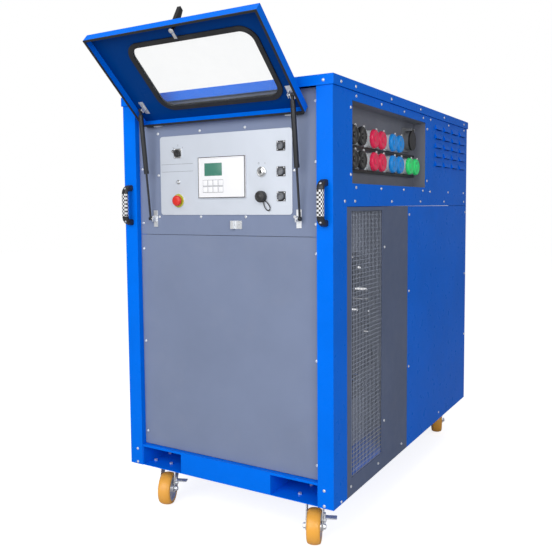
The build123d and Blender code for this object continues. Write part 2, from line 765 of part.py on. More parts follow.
def lid():
    skin, wall = 2.5, 2.0
    inner_skin = LID_SKIN - skin
    groove, glass_lap = 5.0, 12.0
    with BuildPart() as pan:
        with BuildSketch(lid_at(LID_RIM)):
            lid_outline(0)
        extrude(amount=LID_SKIN - LID_RIM)
        with BuildSketch(lid_at(LID_RIM)):
            lid_outline(wall)
        extrude(amount=inner_skin - LID_RIM, mode=Mode.SUBTRACT)
        with BuildSketch(lid_at(LID_RIM)):
            window_outline(groove)
            with Locations((LATCH_X, -LATCH_S)):
                Circle(5.3)
        extrude(amount=LID_SKIN - LID_RIM, mode=Mode.SUBTRACT)
    save(pan.part, "lid_frame")
    with BuildPart() as gasket:
        with BuildSketch(lid_at(LID_RIM - GASKET)):
            lid_outline(0)
            with Locations((0, -(LID_START + LID_END) / 2)):
                Rectangle(
                    LID_WIDTH - 14, LID_END - LID_START - 14, mode=Mode.SUBTRACT
                )
        extrude(amount=GASKET)
    save(gasket.part, "lid_gasket")
    with BuildPart() as glass:
        with BuildSketch(lid_at(inner_skin - 1)):
            window_outline(glass_lap)
        extrude(amount=4)
    save(glass.part, "lid_window")
    with BuildPart() as channel:
        with BuildSketch(lid_at(inner_skin - 5)):
            window_outline(0)
            window_outline(18, Mode.SUBTRACT)
        extrude(amount=12)
        with BuildSketch(lid_at(inner_skin)):
            lid_outline(0)
            window_outline(groove, Mode.SUBTRACT)
        extrude(amount=skin, mode=Mode.SUBTRACT)
        with BuildSketch(lid_at(inner_skin - 1)):
            window_outline(glass_lap)
        extrude(amount=4, mode=Mode.SUBTRACT)
    save(channel.part, "window_channel")


# ---- gas struts --------------------------------------------------------------
# The cylinder hangs on a stud inside the lid; the rod's eye stands beside the stud
# of the bracket on the fascia. The rest direction of the strut joins the two.
STRUT_LOW_DEPTH = 4.0
HIGH_DEPTH = LID_AXIS_DEPTH - STRUT_HIGH_S * cos(RISE) + STRUT_HIGH_N * sin(RISE)
HIGH_HEIGHT = LID_AXIS_HEIGHT + STRUT_HIGH_S * sin(RISE) + STRUT_HIGH_N * cos(RISE)
STRUT_LENGTH = hypot(HIGH_DEPTH - STRUT_LOW_DEPTH, HIGH_HEIGHT - STRUT_LOW_HEIGHT)
STRUT_LEAN = atan2(STRUT_LOW_DEPTH - HIGH_DEPTH, HIGH_HEIGHT - STRUT_LOW_HEIGHT)
CYLINDER_LENGTH = 240.0
EYE, ROD, TUBE, EYE_HALF = 7.0, 4.0, 9.0, 5.0


def strut_at(x, along):
    """Plane square to a strut, at a distance up from its lower pivot."""
    direction = Vector(0, -sin(STRUT_LEAN), cos(STRUT_LEAN))
    low = Vector(x, FRONT + STRUT_LOW_DEPTH, DECK + STRUT_LOW_HEIGHT)
    return Plane(origin=low + direction * along, x_dir=(1, 0, 0), z_dir=direction)


def strut(side, name):
    x = side * STRUT_X
    neck = STRUT_LENGTH - CYLINDER_LENGTH
    with BuildPart() as stem:
        with BuildSketch(side_at(x - EYE_HALF)):
            with Locations((STRUT_LOW_DEPTH, STRUT_LOW_HEIGHT)):
                Circle(EYE)
        extrude(amount=2 * EYE_HALF)
        with BuildSketch(strut_at(x, 0)):
            Circle(ROD)
        extrude(amount=neck + 30)
    save(stem.part, f"{name}_strut_rod")
    with BuildPart() as barrel:
        with BuildSketch(strut_at(x, neck)):
            Circle(TUBE)
        extrude(amount=CYLINDER_LENGTH - 18)
        with BuildSketch(strut_at(x, STRUT_LENGTH - 19)):
            Rectangle(2 * EYE_HALF - 2, 7)
        extrude(amount=16)
        with BuildSketch(side_at(x - EYE_HALF)):
            with Locations((HIGH_DEPTH, HIGH_HEIGHT)):
                Circle(EYE)
        extrude(amount=2 * EYE_HALF)
        with BuildSketch(side_at(x - EYE_HALF)):
            with Locations((HIGH_DEPTH, HIGH_HEIGHT)):
                Circle(STUD_RADIUS + RUN_FIT)
        extrude(amount=2 * EYE_HALF, mode=Mode.SUBTRACT)
        # the bore leaves room for the rod when the strut is shut
        with BuildSketch(strut_at(x, neck)):
            Circle(ROD + RUN_FIT)
        extrude(amount=CYLINDER_LENGTH - 40, mode=Mode.SUBTRACT)
    save(barrel.part, f"{name}_strut_cylinder")


# ---- hinges, strut ears and striker ------------------------------------------
HINGE_BARREL, HINGE_PIN, HINGE_HALF = 5.5, 2.5, 17.0
EAR_X, EAR = 317.0, 3.0
LOW_STUD_END, HIGH_STUD_END = 324.6, 336.0


def fascia_brackets():
    """What is bolted to the fascia: pinned hinge halves, strut ears, latch striker."""
    reach = PANEL_RECESS - LID_AXIS_DEPTH
    with BuildPart() as low:
        for side in (-1, 1):
            inner = side * (HINGE_X - 1)
            with BuildSketch(side_at(inner)):
                with Locations((LID_AXIS_DEPTH, LID_AXIS_HEIGHT)):
                    Circle(HINGE_BARREL)
                    Rectangle(reach, 9, align=(LOW, Align.CENTER))
                with Locations((PANEL_RECESS - 2.5, LID_AXIS_HEIGHT - 5)):
                    Rectangle(2.5, 32, align=MIN2)
            extrude(amount=-side * 2 * HINGE_HALF)
            with BuildSketch(side_at(inner)):
                with Locations((LID_AXIS_DEPTH, LID_AXIS_HEIGHT)):
                    Circle(HINGE_PIN)
            extrude(amount=side * (2 * HINGE_HALF - 4))
            with BuildSketch(front_at(PANEL_RECESS)):
                with Locations((side * (EAR_X + 1), STRUT_LOW_HEIGHT)):
                    Rectangle(20, 64)
            extrude(amount=2.5)
            with BuildSketch(side_at(side * EAR_X)):
                with Locations((PANEL_RECESS - 2, STRUT_LOW_HEIGHT)):
                    Rectangle(22, 22, align=(Align.MAX, Align.CENTER))
            extrude(amount=-side * EAR)
            with BuildSketch(side_at(side * EAR_X)):
                with Locations((STRUT_LOW_DEPTH, STRUT_LOW_HEIGHT)):
                    Circle(STUD_RADIUS)
            extrude(amount=side * (LOW_STUD_END - EAR_X))
        # the latch cam turns behind the striker's lip
        low_edge, height, stand = 954.0, 30.0, 12.0
        with BuildSketch(front_at(PANEL_RECESS)):
            with Locations((49, low_edge)):
                Rectangle(34, height, align=MIN2)
        extrude(amount=2.5)
        with BuildSketch(front_at(PANEL_RECESS)):
            with Locations((49, low_edge)):
                Rectangle(3, height, align=MIN2)
        extrude(amount=stand)
        with BuildSketch(front_at(PANEL_RECESS - stand + 3)):
            with Locations((39, low_edge)):
                Rectangle(13, height, align=MIN2)
        extrude(amount=3)
    save(low.part, "fascia_brackets")


def lid_brackets():
    """What is bolted to the lid: hinge knuckles and the upper strut ears."""
    skin_face = LID_SKIN - 2.5
    with BuildPart() as knuckles:
        for side in (-1, 1):
            with BuildSketch(lid_side_at(side * (HINGE_X + 0.5))):
                Circle(HINGE_BARREL)
                Rectangle(LID_START, 7, align=(LOW, Align.CENTER))
                with Locations((LID_START - 2, LID_RIM)):
                    Rectangle(2, 22, align=MIN2)
                Circle(HINGE_PIN + RUN_FIT, mode=Mode.SUBTRACT)
            extrude(amount=-side * 2 * HINGE_HALF)
    save(knuckles.part, "lid_hinge_leaves")
    with BuildPart() as ears:
        for side in (-1, 1):
            with BuildSketch(lid_at(skin_face)):
                with Locations((side * (EAR_X + 1), -STRUT_HIGH_S)):
                    Rectangle(20, 56)
            extrude(amount=-2)
            with BuildSketch(lid_side_at(side * EAR_X)):
                with Locations((STRUT_HIGH_S, skin_face - 1)):
                    Rectangle(16, 20, align=(Align.CENTER, Align.MAX))
            extrude(amount=side * EAR)
            with BuildSketch(lid_side_at(side * EAR_X)):
                with Locations((STRUT_HIGH_S, STRUT_HIGH_N)):
                    Circle(STUD_RADIUS)
            extrude(amount=-side * (HIGH_STUD_END - EAR_X))
    save(ears.part, "lid_strut_brackets")


# ---- latch and grab handles --------------------------------------------------
def latch():
    """Quarter-turn latch: standing lever outside, cam plate inside the lid."""
    lever = (
        (LATCH_S - 9, LID_SKIN + 6), (LATCH_S + 15, LID_SKIN + 6),
        (LATCH_S + 27, LID_SKIN + 62), (LATCH_S + 11, LID_SKIN + 62),
    )
    with BuildPart() as handle:
        with BuildSketch(lid_at(LID_SKIN + 0.3)):
            with Locations((LATCH_X, -LATCH_S)):
                RegularPolygon(15, 16)
        extrude(amount=7)
        with BuildSketch(lid_side_at(LATCH_X + 7)):
            with BuildLine():
                Polyline(*lever, close=True)
            make_face()
        extrude(amount=14)
        with BuildSketch(lid_at(LID_SKIN + 1)):
            with Locations((LATCH_X, -LATCH_S)):
                Circle(5)
        extrude(amount=-27)
        with BuildSketch(lid_at(-8)):
            with Locations((LATCH_X, -LATCH_S)):
                RegularPolygon(8, 8)
            with Locations((LATCH_X, 14 - LATCH_S)):
                Rectangle(11, 32)
        extrude(amount=4)
    save(handle.part, "latch_handle")


def grab_handles():
    centre, width, low, high, stand, grip = 427.0, 26.0, 965.0, 1123.0, 40.0, 14.0
    bow = (
        (0, low), (10 - stand, low + 4), (-stand, low + 20), (-stand, high - 20),
        (10 - stand, high - 4), (0, high), (0, high - 24), (grip - stand, high - 32),
        (grip - stand, low + 32), (0, low + 24),
    )
    with BuildPart() as handles:
        for side in (-1, 1):
            with BuildSketch(side_at(side * centre - width / 2)):
                with BuildLine():
                    Polyline(*bow, close=True)
                make_face()
            extrude(amount=width)
    save(handles.part, "grab_handles")


# ---- screws ------------------------------------------------------------------
def mirrored(places):
    return [(side * x, z) for x, z in places for side in (-1, 1)]


def grid(firsts, seconds):
    return [(first, second) for first in firsts for second in seconds]


def panel_screws():
    panel, side = front_at(PANEL_RECESS), side_at(WIDTH / 2)
    near, far = (185, 418, 662, 900), (1000, 1275, 1545)
    left = (
        grid((185, 535, 900), (1050, 1098, 1415)) + grid((452, 729), (189, 874))
        + grid((140, 393, 647, 1154), (35,)) + grid((1275, 1545), (1050, 1417))
    )
    faces = (
        (front_at(0), mirrored([(421, 9), (421, 63)])),
        (panel, mirrored(grid((383,), (137, 504, 873)))),
        (panel, mirrored(grid((382,), (973, 1183, 1385)))),
        (panel, mirrored(grid((100, 300), (998, 1316)) + [(300, 1157)])),
        (front_at(-ROOF_OVERHANG), mirrored([(425, 1445)])),
        (side, grid(near, (1098, 1415)) + grid((139, 955), (1142, 1371))),
        (side, grid(far, (1095, 1417)) + grid((91, 175, 526, 869, 1211, 1552), (1050,))),
        (side, grid((452,), (189, 874)) + grid((140, 393, 647, 1154), (35,))),
        (side, grid((729, 1580), (348, 672, 995)) + [(60, 9)]),
        (side_at(WIDTH / 2 + ROOF_OVERHANG), grid((53, 172, 508, 851, 1189, 1525), (1445,))),
        (side_at(-WIDTH / 2 - 3), left),
    )
    with BuildPart() as screws:
        for plane, places in faces:
            with BuildSketch(plane):
                with Locations(*places):
                    RegularPolygon(6.5, 6)
            extrude(amount=3)
    save(screws.part, "panel_screws")


# ---- casters -----------------------------------------------------------------
CASTERS = (
    ("front_right", CASTER_X, CASTER_FRONT), ("front_left", -CASTER_X, CASTER_FRONT),
    ("rear_right", CASTER_X, DEPTH - CASTER_FRONT),
    ("rear_left", -CASTER_X, DEPTH - CASTER_FRONT),
)
KINGPIN = 8.0
RACE_DROP = 14.0  # underside of the swivel race below the deck
CROWN = 9.0
LEG_REACH, LEG = 27.8, 4.0
BRAKE_RISE = 24.0


def caster_plates():
    spots = [(x, depth) for _, x, depth in CASTERS]
    with BuildPart() as plates:
        with BuildSketch(level_at(0)):
            with Locations(*spots):
                Rectangle(101, 114)
        extrude(amount=-5)
        with BuildSketch(level_at(-5)):
            with Locations(*spots):
                RegularPolygon(38, 24)
        extrude(amount=5 - RACE_DROP)
        with BuildSketch(level_at(-RACE_DROP)):
            with Locations(*spots):
                Circle(KINGPIN)
        extrude(amount=RACE_DROP - 31)
        with BuildSketch(level_at(-27)):
            with Locations(*spots):
                RegularPolygon(12, 8)
        extrude(amount=-4)
        # bolt heads under the plate and nuts on the pocket floor
        for start, height in ((-5, -5), (POCKET_BOTTOM, 7)):
            with BuildSketch(level_at(start)):
                for x, depth in spots:
                    with Locations((x, depth)):
                        with GridLocations(80, 90, 2, 2):
                            RegularPolygon(7, 6)
            extrude(amount=height)
    save(plates.part, "caster_plates")


def caster_fork(name, x, depth, braked):
    crown_top = DECK - RACE_DROP - 0.4
    crown_low = crown_top - CROWN
    leg = (
        (30, crown_top), (-38, crown_top), (-TRAIL - 15, WHEEL_RADIUS + 4),
        (-TRAIL - 9, WHEEL_RADIUS - 13), (-TRAIL + 9, WHEEL_RADIUS - 13),
        (-TRAIL + 15, WHEEL_RADIUS + 2), (30, crown_low),
    )
    with BuildPart() as fork:
        with BuildSketch(Plane(origin=(x, FRONT + depth, crown_low))):
            with Locations((4 * sin(radians(CASTER_TURN)), -4 * cos(radians(CASTER_TURN)))):
                Rectangle(2 * (LEG_REACH + LEG), 68, rotation=CASTER_TURN)
            Circle(KINGPIN + RUN_FIT, mode=Mode.SUBTRACT)
        extrude(amount=CROWN)
        for reach in (-LEG_REACH - LEG, LEG_REACH):
            with BuildSketch(caster_at(x, depth, reach)):
                with BuildLine():
                    Polyline(*leg, close=True)
                make_face()
            extrude(amount=LEG)
        with BuildSketch(caster_at(x, depth, -42)):
            with Locations((-TRAIL, WHEEL_RADIUS)):
                Circle(AXLE_RADIUS)
        extrude(amount=84)
        for reach in (-LEG_REACH - LEG - 8, LEG_REACH + LEG):
            with BuildSketch(caster_at(x, depth, reach)):
                with Locations((-TRAIL, WHEEL_RADIUS)):
                    RegularPolygon(10, 6)
            extrude(amount=8)
        if braked:
            with BuildSketch(caster_at(x, depth, LEG_REACH + LEG)):
                with Locations((-TRAIL, WHEEL_RADIUS + BRAKE_RISE)):
                    Circle(4)
            extrude(amount=12)
    save(fork.part, f"{name}_caster_fork")


def caster_wheel(name, x, depth):
    shoulder, hub = 8.0, 54.0
    with BuildPart() as wheel:
        with BuildSketch(caster_at(x, depth, -WHEEL_WIDTH / 2)):
            with Locations((-TRAIL, WHEEL_RADIUS)):
                Circle(WHEEL_RADIUS)
        extrude(amount=WHEEL_WIDTH)
        chamfer(wheel.edges(), shoulder)
        with BuildSketch(caster_at(x, depth, -hub / 2)):
            with Locations((-TRAIL, WHEEL_RADIUS)):
                RegularPolygon(18, 24)
        extrude(amount=hub)
        with BuildSketch(caster_at(x, depth, -hub / 2)):
            with Locations((-TRAIL, WHEEL_RADIUS)):
                Circle(AXLE_RADIUS + RUN_FIT)
        extrude(amount=hub, mode=Mode.SUBTRACT)
    save(wheel.part, f"{name}_caster_wheel")


def brake_pedal(name, x, depth):
    start = LEG_REACH + LEG + 2
    with BuildPart() as pedal:
        with BuildSketch(caster_at(x, depth, start)):
            with Locations((-TRAIL, WHEEL_RADIUS + BRAKE_RISE)):
                Circle(10)
                Rectangle(14, 26, align=(Align.CENTER, Align.MIN))
        extrude(amount=6)
        with BuildSketch(caster_at(x, depth, start)):
            with Locations((-TRAIL, WHEEL_RADIUS + BRAKE_RISE + 9)):
                Rectangle(26, 4, align=FLOOR_CENTRE)
        extrude(amount=46)
        with BuildSketch(caster_at(x, depth, start)):
            with Locations((-TRAIL, WHEEL_RADIUS + BRAKE_RISE)):
                Circle(4 + RUN_FIT)
        extrude(amount=8, mode=Mode.SUBTRACT)
    save(pedal.part, f"{name}_brake_pedal")


# ---- build -------------------------------------------------------------------
os.makedirs("parts", exist_ok=True)
base_frame()
cabinet_frame()
roof_cap()
folded_panel(BASE_HEIGHT + 2, FRONT_SEAM - GAP, "lower_front_panel")
stem_holes = ((STOP, STOP_STEM + 3), (POWER, POWER_STEM + 3))
folded_panel(FRONT_SEAM, EAVES - 0.5, "control_fascia", stem_holes)
right_bay_panel()
louvre_panels()
blank_panels()
side_rear_panels()
intake_panels()
intake_screen(1, "right_intake_screen")
intake_screen(-1, "left_intake_screen")
exhaust_guard()
fan_shrouds()
fan(1, "right_fan")
fan(-1, "left_fan")
fan_motors()
resistor_bank()
contactor_panel()
connector_bay_liner()
connectors()
power_inlet()
control_plate()
display_module()
panel_fixtures()
controls()
lid()
strut(-1, "left")
strut(1, "right")
fascia_brackets()
lid_brackets()
latch()
grab_handles()
panel_screws()
caster_plates()
for position, offset, setback in CASTERS:
    caster_fork(position, offset, setback, position.startswith("front"))
    caster_wheel(position, offset, setback)
    if position.startswith("front"):
        brake_pedal(position, offset, setback)
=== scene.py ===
import json
import logging
import math
from collections.abc import Callable, Iterable, Sequence
from dataclasses import dataclass, field
from enum import Enum

import bmesh
import bpy
from mathutils import Matrix, Vector


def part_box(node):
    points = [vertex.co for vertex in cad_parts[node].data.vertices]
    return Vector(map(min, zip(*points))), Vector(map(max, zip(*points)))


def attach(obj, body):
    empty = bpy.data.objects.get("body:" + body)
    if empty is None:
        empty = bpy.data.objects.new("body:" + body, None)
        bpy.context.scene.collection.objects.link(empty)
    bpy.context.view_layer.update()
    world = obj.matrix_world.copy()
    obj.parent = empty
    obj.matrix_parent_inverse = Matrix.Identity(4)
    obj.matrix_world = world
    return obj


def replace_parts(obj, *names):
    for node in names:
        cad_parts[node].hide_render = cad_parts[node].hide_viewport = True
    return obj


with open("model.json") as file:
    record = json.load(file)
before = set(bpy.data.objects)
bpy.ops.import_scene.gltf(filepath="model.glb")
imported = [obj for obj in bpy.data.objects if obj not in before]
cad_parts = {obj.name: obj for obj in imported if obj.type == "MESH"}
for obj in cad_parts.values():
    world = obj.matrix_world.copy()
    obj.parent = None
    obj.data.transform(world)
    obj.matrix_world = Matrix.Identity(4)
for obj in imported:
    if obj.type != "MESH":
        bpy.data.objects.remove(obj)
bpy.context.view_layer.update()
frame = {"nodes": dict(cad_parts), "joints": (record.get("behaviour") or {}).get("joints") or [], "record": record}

LOG = logging.getLogger("load_bank")
Colour = tuple[float, float, float]
Profile = Sequence[tuple[float, float]]
Station = tuple[float, float, float]
Shape = bmesh.types.BMesh
Socket = bpy.types.NodeSocket
at = Matrix.Translation


class Body(str, Enum):
    """CAD bodies that the added pieces ride on."""

    CABINET = "cabinet"
    LATCH = "latch"
    STOP = "emergency_stop"
    SELECTOR = "selector"
    POWER = "power_button"


class Side(str, Enum):
    """The two sides of the cabinet, as its pieces are named."""

    RIGHT = "right"
    LEFT = "left"


def around(count: int) -> list[float]:
    """Returns evenly spaced angles round a full turn, in radians."""
    return [2 * math.pi * k / count for k in range(count)]


class NodeGraph:
    """A material's node tree with short calls for the nodes the finishes share."""

    def __init__(self, name: str) -> None:
        """Makes an empty node material.

        Args:
            name: the material's name.
        """
        self.material = bpy.data.materials.new(name)
        self.material.use_nodes = True
        self.tree = self.material.node_tree
        self.shader = self.tree.nodes["Principled BSDF"]

    def node(self, kind: str, **values: object) -> bpy.types.Node:
        """Adds one node.

        Args:
            kind: the node's type without its ShaderNode prefix.
            values: attributes to set, or input sockets where the name is a socket's.

        Returns:
            The new node.
        """
        made = self.tree.nodes.new("ShaderNode" + kind)
        for name, value in values.items():
            label = name.replace("_", " ").title()
            if hasattr(made, name):
                setattr(made, name, value)
            else:
                made.inputs[label].default_value = value
        return made

    def link(self, source: Socket, target: Socket) -> None:
        """Joins an output to an input."""
        self.tree.links.new(source, target)

    def noise(self, coords: Socket, scale: float, detail: float = 4.0) -> Socket:
        """Adds a noise texture.

        Args:
            coords: where the noise is read.
            scale: its features per metre.
            detail: octaves of finer noise.

        Returns:
            The noise's factor.
        """
        made = self.node("TexNoise", Scale=scale, Detail=detail, Roughness=0.6)
        self.link(coords, made.inputs["Vector"])
        return made.outputs["Fac"]

    def remap(self, value: Socket, span: tuple[float, float, float, float]) -> Socket:
        """Maps a value from one range to another, clamped.

        Args:
            value: the socket to map.
            span: from low, from high, to low, to high.

        Returns:
            The mapped value.
        """
        made = self.node("MapRange")
        self.link(value, made.inputs["Value"])
        for socket, number in zip(("From Min", "From Max", "To Min", "To Max"), span):
            made.inputs[socket].default_value = number
        return made.outputs["Result"]

    def mix(self, factor: Socket, low: object, high: object) -> Socket:
        """Mixes two colours.

        Args:
            factor: the share of the second colour.
            low: the first, a colour or a socket.
            high: the second, a colour or a socket.

        Returns:
            The mixed colour.
        """
        made = self.node("Mix", data_type="RGBA")
        self.link(factor, made.inputs[0])
        for socket, value in ((made.inputs[6], low), (made.inputs[7], high)):
            if isinstance(value, Socket):
                self.link(value, socket)
            else:
                socket.default_value = (*value, 1.0)
        return made.outputs[2]

    def maths(self, operation: str, first: Socket, second: object = 0.0) -> Socket:
        """Adds one arithmetic step.

        Args:
            operation: the Math node's operation.
            first: the first value.
            second: the second, a number or a socket.

        Returns:
            The result.
        """
        made = self.node("Math", operation=operation)
        self.link(first, made.inputs[0])
        if isinstance(second, Socket):
            self.link(second, made.inputs[1])
        else:
            made.inputs[1].default_value = second
        return made.outputs[0]


@dataclass(frozen=True)
class Finish:
    """A surface finish: colour with mottling, dust, worn edges, grain and gloss."""

    name: str
    colour: Colour
    roughness: float = 0.4
    metallic: float = 0.0
    coat: float = 0.0
    mottle: float = 0.06
    dust: float = 0.10
    dust_colour: Colour = (0.45, 0.43, 0.40)
    wear_colour: Colour = (0.55, 0.56, 0.58)
    wear: float = 0.35
    grain_scale: float = 900.0
    grain_depth: float = 0.05
    edge: float = 0.0012
    stretch: Colour = (1.0, 1.0, 1.0)
    specular: float = 0.5

    def tint(self, graph: NodeGraph, coords: Socket) -> Socket:
        """Varies the clean colour slowly over the surface.

        Args:
            graph: the material's nodes.
            coords: texture coordinates in metres.

        Returns:
            The varied colour.
        """
        low = tuple(c * (1 - self.mottle) for c in self.colour)
        high = tuple(min(1.0, c * (1 + self.mottle)) for c in self.colour)
        return graph.mix(graph.remap(graph.noise(coords, 3.5), (0.3, 0.7, 0, 1)), low, high)

    def build(self) -> bpy.types.Material:
        """Makes the node material.

        Returns:
            The material, ready to assign.
        """
        graph = NodeGraph(self.name)
        shader = graph.shader
        coords = graph.node("TexCoord").outputs["Object"]
        stretched = graph.node("Mapping")
        graph.link(coords, stretched.inputs["Vector"])
        stretched.inputs["Scale"].default_value = self.stretch
        grain = graph.noise(stretched.outputs["Vector"], self.grain_scale, 2.0)
        bevel = graph.node("Bevel", samples=4)
        bevel.inputs["Radius"].default_value = self.edge
        facing = graph.node("VectorMath", operation="DOT_PRODUCT")
        graph.link(bevel.outputs["Normal"], facing.inputs[0])
        graph.link(graph.node("NewGeometry").outputs["True Normal"], facing.inputs[1])
        rim = graph.remap(facing.outputs["Value"], (0.995, 0.90, 0, 1))
        patchy = graph.remap(graph.noise(coords, 60.0), (0.50, 0.66, 0, 1))
        worn = graph.maths("MULTIPLY", graph.maths("MULTIPLY", rim, patchy), self.wear)
        dusty = graph.remap(graph.noise(coords, 9.0, 8.0), (0.52, 0.80, 0, self.dust))
        colour = graph.mix(dusty, self.tint(graph, coords), self.dust_colour)
        colour = graph.mix(worn, colour, self.wear_colour)
        graph.link(colour, shader.inputs["Base Color"])
        rough = graph.remap(
            graph.noise(coords, 22.0), (0.25, 0.75, self.roughness * 0.82, min(1.0, self.roughness * 1.2)),
        )
        graph.link(rough, shader.inputs["Roughness"])
        bump = graph.node("Bump", Strength=self.grain_depth, Distance=0.0006)
        graph.link(grain, bump.inputs["Height"])
        graph.link(bevel.outputs["Normal"], bump.inputs["Normal"])
        graph.link(bump.outputs["Normal"], shader.inputs["Normal"])
        shader.inputs["Base Color"].default_value = (*self.colour, 1.0)
        shader.inputs["Roughness"].default_value = self.roughness
        shader.inputs["Metallic"].default_value = self.metallic
        shader.inputs["Coat Weight"].default_value = self.coat
        shader.inputs["Coat Roughness"].default_value = 0.12
        shader.inputs["Specular IOR Level"].default_value = self.specular
        self.trim(graph, coords)
        return graph.material

    def trim(self, graph: NodeGraph, coords: Socket) -> None:
        """Adds what one kind of finish has of its own."""


@dataclass(frozen=True)
class UndersideShadeFinish(Finish):
    """A blue sheet with painted shade: its underside is darkened to stand for the shade under the open lid."""

    # painted shade: the dark blue laid on the lid's underside in place of the shade that falls there
    painted_shade: Colour = (0.0, 0.045, 0.23)
    inward: Colour = (0.0, -0.67, -0.75)

    def tint(self, graph: NodeGraph, coords: Socket) -> Socket:
        """Paints shade on the faces that look inward when the lid is shut, darkening the lid's underside.

        Args:
            graph: the material's nodes.
            coords: texture coordinates in metres.

        Returns:
            The colour of both faces.
        """
        side = graph.node("VectorMath", operation="DOT_PRODUCT")
        graph.link(graph.node("TexCoord").outputs["Normal"], side.inputs[0])
        side.inputs[1].default_value = self.inward
        share = graph.remap(side.outputs["Value"], (0.90, 0.98, 0, 1))
        return graph.mix(share, super().tint(graph, coords), self.painted_shade)


@dataclass(frozen=True)
class GlassFinish(Finish):
    """Clear sheet with faint wipe marks."""

    alpha: float = 0.07

    def trim(self, graph: NodeGraph, coords: Socket) -> None:
        """Makes the sheet see-through.

        Args:
            graph: the material's nodes.
            coords: texture coordinates in metres.
        """
        haze = graph.remap(graph.noise(coords, 7.0, 6.0), (0.35, 0.75, self.alpha * 0.8, self.alpha * 1.25))
        graph.link(haze, graph.shader.inputs["Alpha"])
        graph.shader.inputs["Alpha"].default_value = self.alpha
        graph.shader.inputs["Specular IOR Level"].default_value = 0.7


@dataclass(frozen=True)
class CheckedFinish(Finish):
    """Two-colour moulded check, as on the grips."""

    second: Colour = (0.80, 0.81, 0.83)
    pitch: float = 0.0072

    def tint(self, graph: NodeGraph, coords: Socket) -> Socket:
        """Lays the check over the mottled colour.

        Args:
            graph: the material's nodes.
            coords: texture coordinates in metres.

        Returns:
            The checked colour.
        """
        checks = graph.node("TexChecker", Scale=1.0 / self.pitch)
        graph.link(coords, checks.inputs["Vector"])
        clean = super().tint(graph, coords)
        return graph.mix(checks.outputs["Fac"], clean, self.second)


@dataclass(frozen=True)
class GlowFinish(Finish):
    """A lit display."""

    glow: float = 0.15

    def trim(self, graph: NodeGraph, coords: Socket) -> None:
        """Adds the backlight."""
        graph.shader.inputs["Emission Color"].default_value = (*self.colour, 1.0)
        graph.shader.inputs["Emission Strength"].default_value = self.glow


BLUE_COAT = {
    "colour": (
        0.0, 0.165, 0.86,
    ), "roughness": 0.30, "mottle": 0.06, "dust": 0.02, "dust_colour": (0.05, 0.20, 0.70),
    "wear_colour": (0.30, 0.42, 0.70), "wear": 0.22, "specular": 0.04, "grain_scale": 350, "grain_depth": 0.008,
}
GREY_COAT = {"roughness": 0.42, "dust": 0.05, "wear": 0.25, "specular": 0.2, "grain_depth": 0.02}
COVER_COAT = {"roughness": 0.20, "coat": 0.3, "specular": 0.25, "mottle": 0.05, "dust": 0.02, "grain_depth": 0.04}


